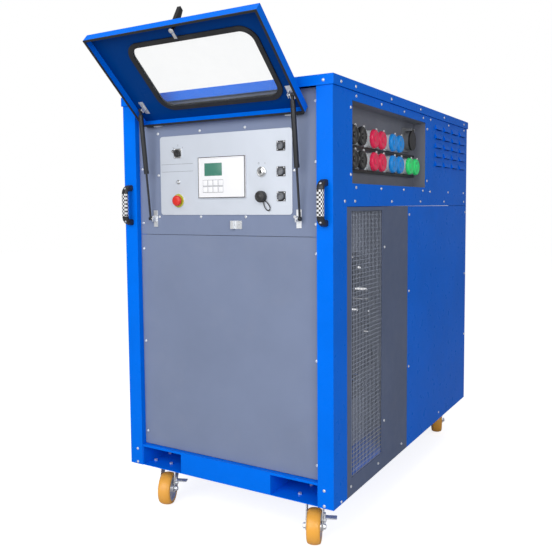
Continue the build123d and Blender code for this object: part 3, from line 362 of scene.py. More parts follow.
class Palette:
    """Every finish of the load bank, made once and shared."""

    FINISHES: tuple[Finish, ...] = (
        Finish("blue_paint", **BLUE_COAT),
        # the lid's blue, with painted shade on its underside
        UndersideShadeFinish("blue_lid_painted_shade", **BLUE_COAT),
        # painted shade: a darker copy of the grey paint for the side intake strips, standing for the shade on the
        # cabinet's side
        Finish("grey_side_painted_shade", (0.115, 0.150, 0.255), mottle=0.06, **GREY_COAT),
        Finish("grey_liner", (0.200, 0.212, 0.260), mottle=0.06, **GREY_COAT),
        Finish("grey_paint", (0.200, 0.243, 0.365), mottle=0.05, **GREY_COAT),
        Finish("screen_wire", (0.40, 0.44, 0.54), 0.45, 0.1, mottle=0.06, dust=0.05, wear=0.2),
        Finish("element_metal", (0.055, 0.055, 0.062), 0.5, 0.5, mottle=0.2, dust=0.1, wear=0.2),
        Finish("dark_grey_paint", (0.13, 0.14, 0.17), 0.5, mottle=0.10),
        Finish(
            "silver_plate", (0.65, 0.695, 0.775), 0.38, 0.30, mottle=0.04, dust=0.03, grain_scale=260,
            grain_depth=0.10, stretch=(0.02, 1, 1),
        ),
        Finish("zinc", (0.80, 0.82, 0.85), 0.30, 0.62, mottle=0.10, dust=0.06, grain_scale=500, grain_depth=0.08),
        Finish("chrome_trim", (0.78, 0.79, 0.80), 0.14, 0.92, mottle=0.05, dust=0.05, grain_depth=0.01),
        Finish(
            "black_plastic", (0.018, 0.018, 0.020), 0.36, mottle=0.15, dust=0.05, wear_colour=(0.1, 0.1, 0.1),
            grain_depth=0.15,
        ),
        Finish(
            "pale_grey_plastic", (0.86, 0.91, 0.95), 0.45, mottle=0.06, dust=0.05, wear_colour=(0.6, 0.6, 0.6),
            grain_depth=0.12,
        ),
        Finish(
            "grey_plastic", (0.20, 0.21, 0.23), 0.45, mottle=0.08, wear_colour=(0.4, 0.4, 0.4), grain_depth=0.12,
        ),
        Finish(
            "black_rubber", (0.014, 0.014, 0.015), 0.55, mottle=0.2, dust=0.05, wear_colour=(0.06, 0.06, 0.06),
            grain_depth=0.25,
        ),
        Finish(
            "gloss_black_cover", (0.010, 0.010, 0.012), 0.22, coat=0.4, mottle=0.1, dust=0.03,
            wear_colour=(0.1, 0.1, 0.1), grain_depth=0.03,
        ),
        Finish(
            "orange_tyre", (0.96, 0.44, 0.060), 0.34, mottle=0.08, dust=0.12, wear_colour=(0.8, 0.45, 0.15),
            grain_depth=0.12,
        ),
        GlassFinish("window_glass", (0.80, 0.87, 0.90), 0.05, mottle=0.02, dust=0.04, wear=0.1, grain_depth=0.01),
        Finish(
            "red_plastic", (0.70, 0.030, 0.020), 0.28, mottle=0.06, dust=0.04, wear_colour=(0.7, 0.2, 0.2),
            grain_depth=0.06,
        ),
        Finish("magenta_cover", (0.98, 0.025, 0.115), wear_colour=(0.8, 0.3, 0.4), **COVER_COAT),
        Finish("sky_cover", (0.010, 0.340, 0.98), wear_colour=(0.3, 0.5, 0.8), **COVER_COAT),
        Finish("green_cover", (0.045, 0.95, 0.25), wear_colour=(0.3, 0.7, 0.4), **COVER_COAT),
        Finish("white_plastic", (0.88, 0.88, 0.91), 0.36, mottle=0.03, dust=0.03, grain_depth=0.06),
        Finish("yellow_plastic", (0.55, 0.58, 0.045), 0.36, mottle=0.05, grain_depth=0.06),
        Finish("dark_metal", (0.030, 0.032, 0.036), 0.32, 0.4, mottle=0.12, dust=0.05, grain_depth=0.06),
        Finish("legend_ink", (0.12, 0.13, 0.17), 0.5, mottle=0.05, dust=0.03, wear=0.1),
        CheckedFinish("grip_check", (0.012, 0.012, 0.014), 0.42, mottle=0.1, dust=0.03, grain_depth=0.12),
        GlowFinish("lcd_green", (0.055, 0.20, 0.150), 0.25, mottle=0.05, dust=0.02, wear=0.0),
    )

    def __init__(self) -> None:
        """Builds no material until one is asked for."""
        self._plans = {finish.name: finish for finish in self.FINISHES}
        self._made: dict[str, bpy.types.Material] = {}

    def get(self, name: str) -> bpy.types.Material:
        """Gives the material of one finish, made on first use.

        Args:
            name: the finish's name.

        Returns:
            The material.
        """
        if name not in self._made:
            self._made[name] = self._plans[name].build()
        return self._made[name]

    def paint(self, obj: bpy.types.Object, name: str) -> None:
        """Gives an object one material in all its slots."""
        obj.data.materials.clear()
        obj.data.materials.append(self.get(name))


class Forge:
    """Makes mesh pieces, paints them and sets them riding."""

    def __init__(self, palette: Palette) -> None:
        """Keeps the palette that finishes come from."""
        self.palette = palette

    def piece(
        self, name: str, shape: Shape, finish: str, body: str = Body.CABINET, smooth: bool = True,
    ) -> bpy.types.Object:
        """Turns a finished bmesh into a piece.

        Args:
            name: the piece's name.
            shape: its geometry, in the row frame; freed here.
            finish: the palette finish.
            body: the CAD body it rides on.
            smooth: whether curved faces are shaded smooth.

        Returns:
            The new object.
        """
        mesh = bpy.data.meshes.new(name)
        bmesh.ops.recalc_face_normals(shape, faces=shape.faces)
        shape.to_mesh(mesh)
        shape.free()
        obj = bpy.data.objects.new(name, mesh)
        bpy.context.scene.collection.objects.link(obj)
        if smooth:
            mesh.shade_smooth()
            mesh.set_sharp_from_angle(angle=math.radians(38))
        self.palette.paint(obj, finish)
        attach(obj, body)
        LOG.info("%s: %d faces", name, len(mesh.polygons))
        return obj

    @staticmethod
    def lathe(shape: Shape, profile: Profile, place: Matrix, turns: int = 32) -> None:
        """Adds a turned form: radius and height pairs spun round local Z.

        Args:
            shape: what it is added to.
            profile: (radius, height) pairs; a radius of 0 closes an end.
            place: from local to row frame.
            turns: segments round.
        """
        rings: list[list[bmesh.types.BMVert]] = []
        for radius, height in profile:
            if radius <= 1e-9:
                rings.append([shape.verts.new(place @ Vector((0, 0, height)))])
                continue
            spots = [Vector((radius * math.cos(a), radius * math.sin(a), height)) for a in around(turns)]
            rings.append([shape.verts.new(place @ spot) for spot in spots])
        for low, high in zip(rings, rings[1:]):
            for i in range(turns):
                corners = [
                    low[i % len(low)], low[(i + 1) % len(low)], high[(i + 1) % len(high)], high[i % len(high)],
                ]
                unique = list(dict.fromkeys(corners))
                if len(unique) > 2:
                    shape.faces.new(unique)

    @staticmethod
    def block(shape: Shape, size: Sequence[float], place: Matrix, round_by: float = 0.0) -> None:
        """Adds a box, its edges rounded when asked.

        Args:
            shape: what it is added to.
            size: full lengths along local X, Y and Z.
            place: from local to row frame, at the box's centre.
            round_by: rounding radius of all edges.
        """
        made = bmesh.ops.create_cube(shape, size=1.0, matrix=place @ Matrix.Diagonal((*size, 1.0)))
        if round_by > 0:
            edges = {edge for vert in made["verts"] for edge in vert.link_edges}
            bmesh.ops.bevel(shape, geom=list(edges), offset=round_by, segments=3, profile=0.5, affect="EDGES")

    @staticmethod
    def tube(shape: Shape, path: Sequence[Vector], radius: float, turns: int = 10, closed: bool = False) -> None:
        """Adds a round bar along a path.

        Args:
            shape: what it is added to.
            path: the bar's centre line.
            radius: its radius.
            turns: segments round.
            closed: whether the last point joins the first.
        """
        count = len(path)
        rings = []
        for i, point in enumerate(path):
            ahead = path[(i + 1) % count] if closed or i + 1 < count else point
            behind = path[i - 1] if closed or i > 0 else point
            turn = (ahead - behind).to_track_quat("Z", "Y").to_matrix()
            spots = [Vector((radius * math.cos(a), radius * math.sin(a), 0)) for a in around(turns)]
            rings.append([shape.verts.new(point + turn @ spot) for spot in spots])
        pairs = list(zip(rings, rings[1:])) + ([(rings[-1], rings[0])] if closed else [])
        for low, high in pairs:
            for k in range(turns):
                shape.faces.new((low[k], low[(k + 1) % turns], high[(k + 1) % turns], high[k]))
        if not closed:
            shape.faces.new(rings[0])
            shape.faces.new(rings[-1])


@dataclass(frozen=True)
class Island:
    """One separate solid of a CAD node: its box."""

    low: Vector
    high: Vector

    @property
    def centre(self) -> Vector:
        """Middle of the box."""
        return (self.low + self.high) / 2

    @property
    def size(self) -> Vector:
        """Lengths of the box."""
        return self.high - self.low


def islands(node: str) -> list[Island]:
    """Splits a CAD node's mesh into its separate solids.

    Args:
        node: the CAD node's name.

    Returns:
        One island per solid, sorted by place.
    """
    shape = bmesh.new()
    shape.from_mesh(frame["nodes"][node].data)
    bmesh.ops.remove_doubles(shape, verts=shape.verts, dist=1e-6)
    seen: set[int] = set()
    found: list[Island] = []
    shape.verts.ensure_lookup_table()
    for start in shape.verts:
        if start.index in seen:
            continue
        stack, members = [start], []
        seen.add(start.index)
        while stack:
            vert = stack.pop()
            members.append(vert.co.copy())
            for edge in vert.link_edges:
                other = edge.other_vert(vert)
                if other.index not in seen:
                    seen.add(other.index)
                    stack.append(other)
        low = Vector(min(co[k] for co in members) for k in range(3))
        high = Vector(max(co[k] for co in members) for k in range(3))
        found.append(Island(low, high))
    shape.free()
    return sorted(found, key=lambda item: tuple(round(v, 3) for v in item.centre))


def facing(direction: Vector, origin: Vector) -> Matrix:
    """Returns the matrix that stands local Z along a direction at an origin, local X kept level."""
    return at(origin) @ direction.to_track_quat("Z", "Y").to_matrix().to_4x4()


class Carrier:
    """Finishes for every CAD node that stays in view."""

    SHADED = {
        "right_fan": "dark_grey_paint",
        "left_fan": "dark_grey_paint",
        "fan_shrouds": "screen_wire",
        "fan_motors": "element_metal",
        "resistor_elements": "element_metal",
        "element_frame": "dark_grey_paint",
        "switch_bezels": "chrome_trim",
        # the lid gets the blue with painted shade on its underside
        "lid_frame": "blue_lid_painted_shade",
        # the side intake strips get the darker grey, with painted shade
        "intake_panels": "grey_side_painted_shade",
        "connector_bay_liner": "grey_liner",
    }

    def __init__(self, palette: Palette) -> None:
        """Keeps the palette that finishes come from."""
        self.palette = palette

    def dress(self) -> None:
        """Paints each CAD node by its record slot, or by its own finer finish."""
        for entry in frame["record"]["subparts"]:
            obj = frame["nodes"][entry["node"]]
            self.palette.paint(obj, self.SHADED.get(entry["node"], entry["material_slot"]))
            obj.data.shade_smooth()
            obj.data.set_sharp_from_angle(angle=math.radians(30))


@dataclass
class Screws:
    """Button-head screws in place of the plain CAD heads."""

    forge: Forge
    radius: float = 0.0056
    section: Profile = ((1, 0), (0.98, 0.35), (0.80, 0.78), (0.50, 1), (0.44, 1), (0.40, 0.45), (0, 0.40))
    turns: int = 14

    def build(self) -> None:
        """Turns one socketed head on each CAD head."""
        shape = bmesh.new()
        for item in islands("panel_screws"):
            thin = min(range(3), key=lambda k: item.size[k])
            out = Vector((0, 0, 0))
            out[thin] = -1.0 if thin == 1 else math.copysign(1.0, item.centre[0])
            height = item.size[thin]
            profile = [(self.radius * r, height * h) for r, h in self.section]
            Forge.lathe(shape, profile, facing(out, item.centre - out * height / 2), self.turns)
        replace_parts(self.forge.piece("panel_screw_heads", shape, "zinc"), "panel_screws")


@dataclass
class ConnectorBay:
    """Barrels, snap covers and tags of the single-pole connectors."""

    forge: Forge
    barrel: float = 0.0335
    pair_pitch: float = 0.1945
    flange: float = 0.066
    flange_depth: float = 0.005
    tag_across: float = 0.0062
    tag_up: float = 0.0072
    tag_wire: float = 0.0019

    COLOURS = ("gloss_black_cover", "magenta_cover", "sky_cover", "green_cover")

    def build(self) -> None:
        """Sorts the covers into colour pairs and turns each one."""
        covers = islands("connector_covers")
        first = min(item.centre.y for item in covers)
        shapes = [bmesh.new() for _ in self.COLOURS]
        rings, barrels = bmesh.new(), bmesh.new()
        for item in covers:
            pair = min(len(shapes) - 1, int((item.centre.y - first) / self.pair_pitch + 0.2))
            self._cover(shapes[pair], item)
            self._tag(rings, item)
            self._barrel(barrels, item)
        for colour, shape in zip(self.COLOURS, shapes):
            made = self.forge.piece(f"covers_{colour}", shape, colour)
            if colour == self.COLOURS[0]:
                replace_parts(made, "connector_covers")
        self.forge.piece("cover_tags", rings, "white_plastic")
        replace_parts(self.forge.piece("connector_barrels", barrels, "pale_grey_plastic"), "connector_bodies")

    @staticmethod
    def _cover(shape: Shape, item: Island) -> None:
        """Adds one domed cover with a thumb rim and a raised centre.

        Args:
            shape: what it is added to.
            item: the CAD cover.
        """
        radius, depth = item.size.y / 2, item.size.x
        place = facing(Vector((1, 0, 0)), Vector((item.low.x, item.centre.y, item.centre.z)))
        profile = (
            (radius * 0.90, 0), (radius, 0.001), (radius, depth * 0.30), (radius * 0.965, depth * 0.36),
            (radius * 0.955, depth * 0.62), (radius * 0.91, depth * 0.80), (radius * 0.82, depth * 0.90),
            (radius * 0.66, depth * 0.92), (radius * 0.60, depth * 0.84), (radius * 0.34, depth * 0.84),
            (radius * 0.29, depth * 0.97), (radius * 0.18, depth), (0, depth),
        )
        Forge.lathe(shape, profile, place, 40)

    def _tag(self, shape: Shape, item: Island) -> None:
        """Adds the eye of a cover's lanyard on its upper edge.

        Args:
            shape: what it is added to.
            item: the CAD cover.
        """
        radius = item.size.y / 2
        centre = Vector((item.centre.x + 0.004, item.centre.y + 0.004, item.centre.z + radius * 0.86))
        across, rise = self.tag_across, self.tag_up
        loop = [centre + Vector((0, across * math.cos(a), rise * math.sin(a))) for a in around(16)]
        Forge.tube(shape, loop, self.tag_wire, 8, closed=True)

    def _barrel(self, shape: Shape, item: Island) -> None:
        """Adds the square flange and moulded barrel behind one cover.

        Args:
            shape: what it is added to.
            item: the CAD cover.
        """
        back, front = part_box("connector_bodies")[0].x, item.low.x
        centre = Vector((back + self.flange_depth / 2, item.centre.y, item.centre.z))
        Forge.block(shape, (self.flange_depth, self.flange, self.flange), at(centre), 0.0015)
        reach, wide = front - back, self.barrel
        profile = (
            (wide * 0.92, 0.004), (wide, 0.007), (wide, reach * 0.42), (wide * 0.96, reach * 0.46),
            (
                wide * 0.96, reach * 0.56,
            ), (wide, reach * 0.60), (wide, reach - 0.002), (wide * 0.94, reach), (0, reach),
        )
        Forge.lathe(shape, profile, facing(Vector((1, 0, 0)), Vector((back, item.centre.y, item.centre.z))), 36)


@dataclass
class IntakeScreens:
    """Welded wire screens with the full number of wires."""

    forge: Forge
    pitch_across: float = 0.013
    pitch_up: float = 0.016
    wire: float = 0.00125

    def build(self) -> None:
        """Weaves one screen per side in the space of its CAD screen."""
        for side in Side:
            node = f"{side.value}_intake_screen"
            low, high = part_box(node)
            shape = bmesh.new()
            outer, inward = (high.x, -1.0) if side is Side.RIGHT else (low.x, 1.0)
            for spot in self._spread(low.y, high.y, self.pitch_across):
                x = outer + inward * self.wire
                Forge.tube(shape, [Vector((x, spot, low.z)), Vector((x, spot, high.z))], self.wire, 6)
            for spot in self._spread(low.z, high.z, self.pitch_up):
                x = outer + inward * self.wire * 2.9
                Forge.tube(shape, [Vector((x, low.y, spot)), Vector((x, high.y, spot))], self.wire, 6)
            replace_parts(self.forge.piece(f"{side.value}_screen_wires", shape, "screen_wire"), node)

    @staticmethod
    def _spread(low: float, high: float, pitch: float) -> list[float]:
        """Spaces places evenly between two ends, half a step in from each.

        Args:
            low: the lower end.
            high: the upper end.
            pitch: the step to come closest to.

        Returns:
            The places, from low to high.
        """
        count = max(2, int((high - low) / pitch))
        step = (high - low) / count
        return [low + step * (k + 0.5) for k in range(count)]


@dataclass
class Handles:
    """Bow handles with black feet and a checked grip."""

    forge: Forge
    path: tuple[Station, ...] = (
        (0.000, -0.0670, 0.0120), (-0.012, -0.0665, 0.0118), (-0.0225, -0.0625, 0.0095), (-0.0300, -0.0555, 0.0078),
        (-0.0328, -0.0440, 0.0070), (-0.0328, 0.0440, 0.0070), (-0.0300, 0.0555, 0.0078), (-0.0225, 0.0625, 0.0095),
        (-0.012, 0.0665, 0.0118), (0.000, 0.0670, 0.0120),
    )
    screw: Profile = ((0.0042, -0.003), (0.0042, 0.0004), (0.0034, 0.0016), (0.0016, 0.0022), (0, 0.0022))

    def build(self) -> None:
        """Sweeps both handles and parts each into feet and grip."""
        feet, grips, screws = bmesh.new(), bmesh.new(), bmesh.new()
        for item in islands("grab_handles"):
            foot = Vector((item.centre.x, item.high.y, item.centre.z))
            width = item.size.x / 2
            self._sweep(feet, foot, self.path[:5], width)
            self._sweep(feet, foot, self.path[5:], width)
            grip = [(d - 0.0002, h, t + 0.0003) for d, h, t in self.path[4:6]]
            self._sweep(grips, foot, grip, width)
            for turn in (-1, 1):
                out = Vector((0, -0.80, turn * 0.60))
                head = foot + Vector((0, -0.0322, turn * 0.0640))
                Forge.lathe(screws, self.screw, facing(out, head), 14)
        made = self.forge.piece("handle_feet", feet, "black_plastic")
        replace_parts(made, "grab_handles")
        self.forge.piece("handle_grips", grips, "grip_check")
        self.forge.piece("handle_screws", screws, "zinc")

    @staticmethod
    def _sweep(shape: Shape, foot: Vector, path: Sequence[Station], width: float) -> None:
        """Adds a rounded bar along part of the bow.

        Args:
            shape: what it is added to.
            foot: the middle of the handle, on the post's face.
            path: depth, height and half thickness at each station.
            width: half width of the bar.
        """
        count, power, rings = 20, 0.55, []
        for index, (depth, height, thick) in enumerate(path):
            before, after = path[max(index - 1, 0)], path[min(index + 1, len(path) - 1)]
            along = Vector((0, after[0] - before[0], after[1] - before[1])).normalized()
            across = Vector((0, along.z, -along.y))
            ring = []
            for angle in around(count):
                u, v = math.cos(angle), math.sin(angle)
                u, v = math.copysign(abs(u) ** power, u), math.copysign(abs(v) ** power, v)
                ring.append(shape.verts.new(foot + Vector((u * width, depth, height)) + across * (v * thick)))
            rings.append(ring)
        for low, high in zip(rings, rings[1:]):
            for k in range(count):
                shape.faces.new((low[k], low[(k + 1) % count], high[(k + 1) % count], high[k]))
        shape.faces.new(rings[0])
        shape.faces.new(rings[-1])


@dataclass
class LidFittings:
    """Plated cam of the lid latch and collars of the struts."""

    forge: Forge
    cam: Station = (0.0125, 0.0335, 0.0046)
    cam_place: Station = (0, -0.014, -0.006)
    nut: Profile = ((0.0095, -0.0086), (0.0095, -0.0100), (0.0070, -0.0118), (0, -0.0118))
    collar: Profile = (
        (0.55, 0.0016), (0.90, 0.0016), (1.04, 0.0040), (1.04, 0.0120), (0.99, 0.0140), (0.96, 0.0140),
    )

    def build(self) -> None:
        """Adds both kinds of fitting from the joints' own places."""
        joints = {joint["name"]: joint for joint in frame["joints"]}
        turn = joints["latch_turn"]
        rise, across = Vector(turn["axis"]), Vector((1, 0, 0))
        outward = across.cross(rise)
        place = Matrix((across, outward, rise)).transposed().to_4x4()
        origin = at(Vector(turn["pos_m"])) @ place
        cam = bmesh.new()
        Forge.block(cam, self.cam, origin @ at(self.cam_place), 0.0012)
        Forge.lathe(cam, self.nut, origin, 24)
        self.forge.piece("latch_cam", cam, "chrome_trim", Body.LATCH)
        for side in (Side.LEFT, Side.RIGHT):
            self._collar(side.value, Vector(joints[f"{side.value}_strut_slide"]["axis"]))

    def _collar(self, side: str, along: Vector) -> None:
        """Turns the end collars of one strut's tube.

        Args:
            side: left or right.
            along: direction of the tube, upwards.
        """
        low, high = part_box(f"{side}_strut_cylinder")
        along = along.normalized() if along.z > 0 else -along.normalized()
        half = (high.z - low.z) / 2 / along.z
        radius = (high.x - low.x) / 2
        collar = bmesh.new()
        base = (low + high) / 2 - along * half
        profile = [(radius * r, h) for r, h in self.collar]
        Forge.lathe(collar, profile, facing(along, base), 28)
        self.forge.piece(f"{side}_strut_collar", collar, "black_plastic", f"{side}_strut_cylinder")


@dataclass
class Casters:
    """Polyurethane tyres on turned cores, in place of the plain wheels."""

    forge: Forge
    half: float = 0.025
    seat: float = 0.048
    shoulder: float = 0.011
    crown: float = 0.0085

    def build(self) -> None:
        """Turns a tyre and core round each wheel's axle."""
        for joint in frame["joints"]:
            if not joint["name"].endswith("_roll"):
                continue
            body = joint["child"]
            node = frame["record"]["behaviour"]["bodies"][body][0]
            place = facing(Vector(joint["axis"]), Vector(joint["pos_m"]))
            low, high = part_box(node)
            tyre, core = bmesh.new(), bmesh.new()
            Forge.lathe(tyre, self._tread((high.z - low.z) / 2), place, 64)
            wall = self._wall()
            Forge.lathe(core, [(r, -h) for r, h in reversed(wall)] + wall, place, 48)
            made = self.forge.piece(f"{body}_tyre", tyre, "orange_tyre", body)
            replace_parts(made, node)
            self.forge.piece(f"{body}_core", core, "zinc", body)

    def _tread(self, radius: float) -> Profile:
        """Draws the tyre's section.

        Args:
            radius: the wheel's radius.

        Returns:
            Radius and height pairs from one side to the other.
        """
        half, edge = self.half, radius - self.shoulder
        bends = [math.radians(degrees) for degrees in range(-75, 76, 15)]
        crown = [(radius - self.crown * (1 - math.cos(a)), half * math.sin(a) * 0.98) for a in bends]
        return [(self.seat, -half * 0.90), (edge, -half), *crown, (edge, half), (self.seat, half * 0.90)]

    def _wall(self) -> Profile:
        """Returns one side of the core's section, from its rim in to the hub."""
        half = self.half
        return [
            (0.0495, half * 0.90), (0.047, half * 0.94), (0.043, half * 0.90), (0.040, half * 0.62),
            (0.020, half * 0.60), (0.0175, half), (0.0172, 0.0265), (0.0085, 0.027), (0.0062, 0.027),
        ]


@dataclass
class Display:
    """Glass, keys and edge of the display module."""

    forge: Forge
    glass: Station = (0.079, 0.0012, 0.047)
    key: Station = (0.0196, 0.0014, 0.0200)
    outline: Station = (0.0222, 0.0010, 0.0228)
    columns: int = 4
    rows: int = 2
    column_pitch: float = 0.023
    row_pitch: float = 0.024
    edge: float = 0.0030

    def build(self) -> None:
        """Lays the display's parts in the recess of the module."""
        low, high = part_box("display_module")
        face = low.y
        centre = (low + high) / 2
        self._panel(low, high)
        lcd = Vector((centre.x - 0.0355, face + 0.0014, centre.z + 0.029))
        shape = bmesh.new()
        Forge.block(shape, self.glass, at(lcd), 0.0005)
        self.forge.piece("display_glass", shape, "lcd_green")
        keys, outlines = bmesh.new(), bmesh.new()
        for column in range(self.columns):
            for row in range(self.rows):
                x = centre.x - 0.0370 + (column - 1.5) * self.column_pitch
                z = centre.z - 0.032 + (row - 0.5) * self.row_pitch
                Forge.block(outlines, self.outline, at((x, face + 0.0012, z)), 0.0004)
                Forge.block(keys, self.key, at((x, face + 0.0008, z)), 0.0005)
        self.forge.piece("display_keys", keys, "white_plastic")
        self.forge.piece("display_key_outlines", outlines, "grey_plastic")

    def _panel(self, low: Vector, high: Vector) -> None:
        """Fills the module's face with its white foil and a thin dark edge.

        Args:
            low: the module's lowest corner.
            high: its highest corner.
        """
        face = low.y
        centre = (low + high) / 2
        wide, tall, edge = high.x - low.x, high.z - low.z, self.edge
        foil, rim = bmesh.new(), bmesh.new()
        place = at((centre.x, face + 0.0014, centre.z))
        Forge.block(foil, (wide - 2 * edge, 0.0010, tall - 2 * edge), place, 0.0004)
        self.forge.piece("display_foil", foil, "white_plastic")
        for dx, dz, sx, sz in ((0, 1, wide, edge), (0, -1, wide, edge), (1, 0, edge, tall), (-1, 0, edge, tall)):
            spot = Vector((centre.x + dx * (wide - edge) / 2, face + 0.0011, centre.z + dz * (tall - edge) / 2))
            Forge.block(rim, (sx, 0.0024, sz), at(spot), 0.0005)
        self.forge.piece("display_rim", rim, "black_plastic")


@dataclass
class Controls:
    """Switches, rings, sockets, strap and plain marks of the control plate."""

    forge: Forge
    out: Vector = field(default_factory=lambda: Vector((0, -1, 0)))
    plate: float = field(default_factory=lambda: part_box("control_plate")[0].y)
    teeth: int = 30
    teeth_circle: float = 0.0236
    lever_turn: float = math.radians(35)
    key_turn: float = math.radians(25)
    square: float = 0.034
    square_depth: float = 0.003
    selector_screws: float = 0.0145
    socket_screws: float = 0.0132
    ribs: int = 24
    rib_circle: float = 0.0192
    strap_lean: float = math.radians(34)
    strap_radius: float = 0.0017
    strap_points: int = 28
    ink_depth: float = 0.0003
    rule: float = 0.150
    rule_drops: tuple[float, ...] = (-0.040, -0.068)
    tick_circle: float = 0.0300
    screw: Profile = (
        (0.0030, 0), (0.0030, 0.0007), (0.0023, 0.0015), (0.0010, 0.0017), (0.0008, 0.0010), (0, 0.0010),
    )

    def build(self) -> None:
        """Builds each control on the plate's face."""
        self._stop()
        self._selector()
        self._power()
        self._sockets()
        self._marks()

    def _at(self, node: str) -> Vector:
        """Returns the middle of a CAD node, on the plate's face."""
        low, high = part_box(node)
        return Vector(((low.x + high.x) / 2, self.plate, (low.z + high.z) / 2))

    def _turned(
        self, name: str, profile: Profile, spot: Vector, finish: str, body: str = Body.CABINET, turns: int = 40,
    ) -> bpy.types.Object:
        """Turns one piece that stands out from the plate.

        Args:
            name: the piece's name.
            profile: its section.
            spot: its middle, on the plate's face.
            finish: the palette finish.
            body: the CAD body it rides on.
            turns: segments round.

        Returns:
            The new object.
        """
        shape = bmesh.new()
        Forge.lathe(shape, profile, facing(self.out, spot), turns)
        return self.forge.piece(name, shape, finish, body)

    def _stop(self) -> None:
        """Adds the mushroom head and its serrated ring."""
        spot, front = self._at("estop_button"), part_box("estop_button")[0].y
        reach = self.plate - front
        head = (
            (0.0105, 0.0030), (0.0105, reach - 0.0125), (0.0170, reach - 0.0115), (0.0200, reach - 0.0095),
            (
                0.0200, reach - 0.0060,
            ), (0.0185, reach - 0.0030), (0.0145, reach - 0.0010), (0.0080, reach), (0, reach),
        )
        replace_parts(self._turned("estop_head", head, spot, "red_plastic", Body.STOP), "estop_button")
        ring = bmesh.new()
        band = ((0.0112, 0.0034), (0.0250, 0.0034), (0.0256, 0.0028), (0.0256, 0.0002))
        Forge.lathe(ring, band, facing(self.out, spot), 48)
        for angle in around(self.teeth):
            lift = Vector((self.teeth_circle * math.cos(angle), -0.0038, self.teeth_circle * math.sin(angle)))
            turn = Matrix.Rotation(-angle, 4, "Y")
            Forge.block(ring, (0.0036, 0.0016, 0.0018), at(spot + lift) @ turn, 0.0003)
        self.forge.piece("estop_ring", ring, "yellow_plastic")

    def _selector(self) -> None:
        """Adds the selector's collar, pointer bar and plate screws."""
        spot, front = self._at("selector_knob"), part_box("selector_knob")[0].y
        reach = self.plate - front
        knob = bmesh.new()
        collar = ((0.0140, 0.0032), (0.0142, 0.0050), (0.0136, 0.0088), (0.0118, 0.0104), (0, 0.0104))
        Forge.lathe(knob, collar, facing(self.out, spot), 36)
        turn = Matrix.Rotation(self.lever_turn, 4, "Y")
        bar = at(spot + Vector((0, -(reach + 0.0090) / 2, 0))) @ turn
        Forge.block(knob, (0.033, reach - 0.0090, 0.0088), bar, 0.0022)
        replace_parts(self.forge.piece("selector_lever", knob, "black_plastic", Body.SELECTOR), "selector_knob")
        mark = bmesh.new()
        place = at(spot + Vector((0, -reach - 0.0001, 0))) @ turn @ at((-0.010, 0, 0))
        Forge.block(mark, (0.009, 0.0004, 0.0016), place)
        self.forge.piece("selector_mark", mark, "white_plastic", Body.SELECTOR)
        screws = bmesh.new()
        self._corner_screws(screws, spot, self.selector_screws)
        self.forge.piece("selector_plate_screws", screws, "chrome_trim")

    def _corner_screws(self, shape: Shape, spot: Vector, reach: float) -> None:
        """Adds a small domed screw head at each corner of a square.

        Args:
            shape: what they are added to.
            spot: the square's middle, on the plate's face.
            reach: from the middle to each screw, across and up.
        """
        for x in (-1, 1):
            for z in (-1, 1):
                corner = spot + Vector((x * reach, -0.0030, z * reach))
                Forge.lathe(shape, self.screw, facing(self.out, corner), 12)

    def _power(self) -> None:
        """Adds the plated bezel and the lens of the power button."""
        spot, front = self._at("power_button"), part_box("power_button")[0].y
        reach = self.plate - front
        bezel = (
            (0.0133, 0.0006), (0.0190, 0.0006), (0.0190, 0.0034), (0.0176, 0.0052), (0.0150, 0.0058),
            (0.0136, 0.0050), (0.0133, 0.0006),
        )
        self._turned("power_bezel", bezel, spot, "chrome_trim")
        lens = ((0.0128, 0.0010), (0.0128, reach - 0.0014), (0.0112, reach - 0.0004), (0, reach))
        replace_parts(self._turned("power_lens", lens, spot, "chrome_trim", Body.POWER), "power_button")
        slot = bmesh.new()
        place = at(spot + Vector((0, -reach - 0.0001, 0))) @ Matrix.Rotation(self.key_turn, 4, "Y")
        Forge.block(slot, (0.0030, 0.0006, 0.0140), place, 0.0003)
        Forge.block(slot, (0.0085, 0.0006, 0.0046), place, 0.0003)
        self.forge.piece("power_key_slot", slot, "dark_metal", Body.POWER)

    def _sockets(self) -> None:
        """Adds the square sockets, the capped round one and its lanyard."""
        flanges, shells, screws = bmesh.new(), bmesh.new(), bmesh.new()
        for item in islands("panel_connectors"):
            spot = Vector((item.centre.x, self.plate, item.centre.z))
            reach = item.size.y
            if item.size.x < self.square + 0.0005:
                middle = at(spot + Vector((0, -self.square_depth / 2, 0)))
                Forge.block(flanges, (self.square, self.square_depth, self.square), middle, 0.0012)
                shell = (
                    (0.0122, 0.0030), (0.0122, reach - 0.0010), (0.0112, reach), (0.0098, reach), (0.0092, 0.0062),
                    (0, 0.0062),
                )
                Forge.lathe(shells, shell, facing(self.out, spot), 32)
                self._corner_screws(screws, spot, self.socket_screws)
            else:
                self._cap(flanges, spot, reach)
        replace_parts(self.forge.piece("socket_flanges", flanges, "black_plastic"), "panel_connectors")
        self.forge.piece("socket_shells", shells, "grey_plastic")
        self.forge.piece("socket_screws", screws, "chrome_trim")

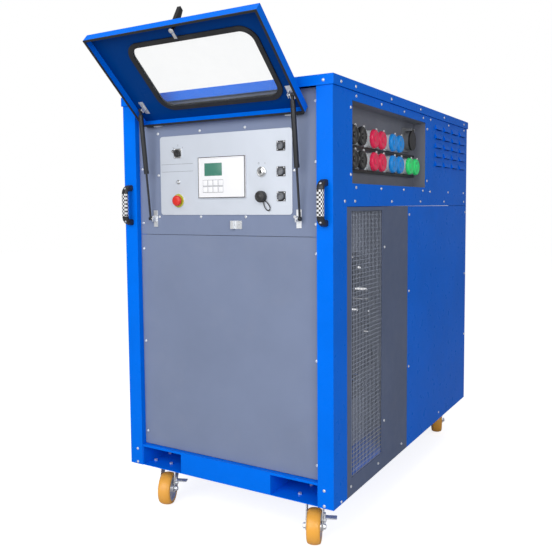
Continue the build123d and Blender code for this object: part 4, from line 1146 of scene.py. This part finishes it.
    def _cap(self, shape: Shape, spot: Vector, reach: float) -> None:
        """Adds the ribbed cap of the round socket and its strap loop.

        Args:
            shape: what they are added to.
            spot: the cap's middle, on the plate's face.
            reach: how far the cap stands out.
        """
        cap = (
            (0.0205, 0.0002), (0.0205, 0.0060), (0.0190, 0.0070), (
                0.0190, reach - 0.0030,
            ), (0.0176, reach - 0.0008),
            (0.0120, reach), (
                0.0104, reach - 0.0016,
            ), (0.0060, reach - 0.0016), (0.0044, reach - 0.0004), (0, reach - 0.0004),
        )
        Forge.lathe(shape, cap, facing(self.out, spot), 40)
        for angle in around(self.ribs):
            rib = Vector(
                (self.rib_circle * math.cos(angle), -(reach + 0.004) / 2, self.rib_circle * math.sin(angle))
            )
            turn = Matrix.Rotation(-angle, 4, "Y")
            Forge.block(shape, (0.0020, reach - 0.0080, 0.0018), at(spot + rib) @ turn, 0.0004)
        lean, points = self.strap_lean, []
        for angle in around(self.strap_points):
            down = 0.016 + 0.021 * (1 - math.cos(angle))
            across = 0.0115 * math.sin(angle) * (0.55 + 0.45 * (1 - math.cos(angle)) / 2)
            x = down * math.sin(lean) + across * math.cos(lean)
            z = across * math.sin(lean) - down * math.cos(lean)
            points.append(spot + Vector((x, -0.0042, z)))
        Forge.tube(shape, points, self.strap_radius, 8, closed=True)

    def _marks(self) -> None:
        """Lays plain rules and dial ticks on the plate."""
        ink = bmesh.new()
        selector, stop, power = self._at("selector_knob"), self._at("estop_button"), self._at("power_button")
        for drop in self.rule_drops:
            place = at((selector.x - 0.0055, self.plate - 0.0001, selector.z + drop))
            Forge.block(ink, (self.rule, self.ink_depth, 0.0009), place)
        for degrees in (-45, 0, 45):
            angle = math.radians(degrees)
            lift = Vector((self.tick_circle * math.sin(angle), -0.0001, self.tick_circle * math.cos(angle)))
            turn = Matrix.Rotation(angle, 4, "Y")
            Forge.block(ink, (0.0012, self.ink_depth, 0.0070), at(selector + lift) @ turn)
        Forge.block(ink, (0.0012, self.ink_depth, 0.0060), at(power + Vector((0.013, -0.0001, 0.030))))
        centre = power + Vector((-0.013, -0.0001, 0.030))
        ring = [centre + Vector((0.0027 * math.cos(a), 0, 0.0030 * math.sin(a))) for a in around(20)]
        Forge.tube(ink, ring, 0.0005, 6, closed=True)
        self.forge.piece("plate_marks", ink, "legend_ink", smooth=False)


@dataclass(frozen=True)
class Lamp:
    """One square area lamp."""

    name: str
    place: Station
    target: Station
    size: float
    power: float

    def hang(self) -> None:
        """Adds the lamp, turned to its target."""
        data = bpy.data.lights.new(self.name, "AREA")
        data.shape, data.size, data.energy = "SQUARE", self.size, self.power
        lamp = bpy.data.objects.new(self.name, data)
        bpy.context.scene.collection.objects.link(lamp)
        lamp.location = self.place
        lamp.rotation_euler = (Vector(self.target) - Vector(self.place)).to_track_quat("-Z", "Y").to_euler()


@dataclass
class Studio:
    """Floor, light, world and camera; sensor and lens in millimetres, all else in metres."""

    lamps: tuple[Lamp, ...] = (
        Lamp("key_light", (-0.2, -5.4, 3.0), (0.0, -0.5, 0.8), 4.5, 188.0),
        Lamp("fill_light", (3.4, -3.4, 2.2), (0.4, -0.7, 0.9), 2.6, 62.0),
        Lamp("top_light", (0.0, 0.0, 5.5), (0.0, 0.0, 0.5), 4.0, 45.0),
    )
    floor_half: float = 14.0
    floor_glow: float = 0.82
    ambient: float = 0.30
    eye: Station = (1.44919, -2.03592, 1.03461)
    deck: float = 0.165
    yaw: float = 0.53702
    pitch: float = -0.07247
    roll: float = -0.00854
    sensor: float = 36.0
    lens: float = 44.6455826
    shift: float = -0.0362318841

    def build(self) -> None:
        """Sets the whole studio."""
        self._floor()
        self._world()
        for lamp in self.lamps:
            lamp.hang()
        self._camera()
        bpy.context.scene.view_settings.view_transform = "Standard"

    def _floor(self) -> None:
        """Lays a wide pale floor that the camera sees as white."""
        shape = bmesh.new()
        bmesh.ops.create_grid(shape, x_segments=2, y_segments=2, size=self.floor_half)
        mesh = bpy.data.meshes.new("floor")
        shape.to_mesh(mesh)
        shape.free()
        floor = bpy.data.objects.new("floor", mesh)
        bpy.context.scene.collection.objects.link(floor)
        graph = NodeGraph("floor_white")
        coords = graph.node("TexCoord").outputs["Object"]
        tone = graph.mix(graph.noise(coords, 0.6), (0.58, 0.58, 0.58), (0.62, 0.62, 0.62))
        graph.link(tone, graph.shader.inputs["Base Color"])
        graph.shader.inputs["Base Color"].default_value = (0.6, 0.6, 0.6, 1)
        graph.shader.inputs["Roughness"].default_value = 0.9
        glow = graph.node("Emission")
        seen = graph.node("LightPath").outputs["Is Camera Ray"]
        graph.link(graph.remap(seen, (0, 1, 0, self.floor_glow)), glow.inputs["Strength"])
        both = graph.node("AddShader")
        graph.link(graph.shader.outputs[0], both.inputs[0])
        graph.link(glow.outputs[0], both.inputs[1])
        graph.link(both.outputs[0], graph.tree.nodes["Material Output"].inputs["Surface"])
        floor.data.materials.append(graph.material)

    def _world(self) -> None:
        """Sets a grey light all round that the camera sees as white."""
        world = bpy.data.worlds.new("studio")
        bpy.context.scene.world = world
        world.use_nodes = True
        tree = world.node_tree
        ground = tree.nodes["Background"]
        ground.inputs["Color"].default_value = (1, 1, 1, 1)
        ground.inputs["Strength"].default_value = self.ambient
        seen = tree.nodes.new("ShaderNodeBackground")
        seen.inputs["Color"].default_value = (1, 1, 1, 1)
        seen.inputs["Strength"].default_value = 1.0
        path = tree.nodes.new("ShaderNodeLightPath")
        blend = tree.nodes.new("ShaderNodeMixShader")
        tree.links.new(path.outputs["Is Camera Ray"], blend.inputs[0])
        tree.links.new(ground.outputs[0], blend.inputs[1])
        tree.links.new(seen.outputs[0], blend.inputs[2])
        tree.links.new(blend.outputs[0], tree.nodes["World Output"].inputs["Surface"])

    def _camera(self) -> None:
        """Stands the camera off the cabinet's front, its place measured from the deck."""
        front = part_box("cabinet_frame")[0].y
        yaw, pitch, roll = self.yaw, self.pitch, self.roll
        ahead = Vector((-math.sin(yaw) * math.cos(pitch), math.cos(yaw) * math.cos(pitch), math.sin(pitch)))
        right = Vector((math.cos(yaw), math.sin(yaw), 0))
        up = right.cross(ahead)
        across = math.cos(roll) * right + math.sin(roll) * up
        upright = -math.sin(roll) * right + math.cos(roll) * up
        data = bpy.data.cameras.new("camera")
        data.sensor_width = self.sensor
        data.lens = self.lens
        data.shift_y = self.shift
        camera = bpy.data.objects.new("camera", data)
        bpy.context.scene.collection.objects.link(camera)
        x, y, z = self.eye
        turn = Matrix((across, upright, -ahead)).transposed()
        camera.matrix_world = at(Vector((x, front + y, self.deck + z))) @ turn.to_4x4()
        bpy.context.scene.camera = camera


def main() -> None:
    """Dresses the CAD frame, adds the fine pieces and sets the studio."""
    logging.basicConfig(level=logging.INFO)
    palette = Palette()
    forge = Forge(palette)
    Carrier(palette).dress()
    builders: Iterable[Callable[[], None]] = (
        Screws(forge).build,
        ConnectorBay(forge).build,
        IntakeScreens(forge).build,
        Handles(forge).build,
        LidFittings(forge).build,
        Casters(forge).build,
        Display(forge).build,
        Controls(forge).build,
        Studio().build,
    )
    for build in builders:
        build()


if __name__ == "__main__":
    main()
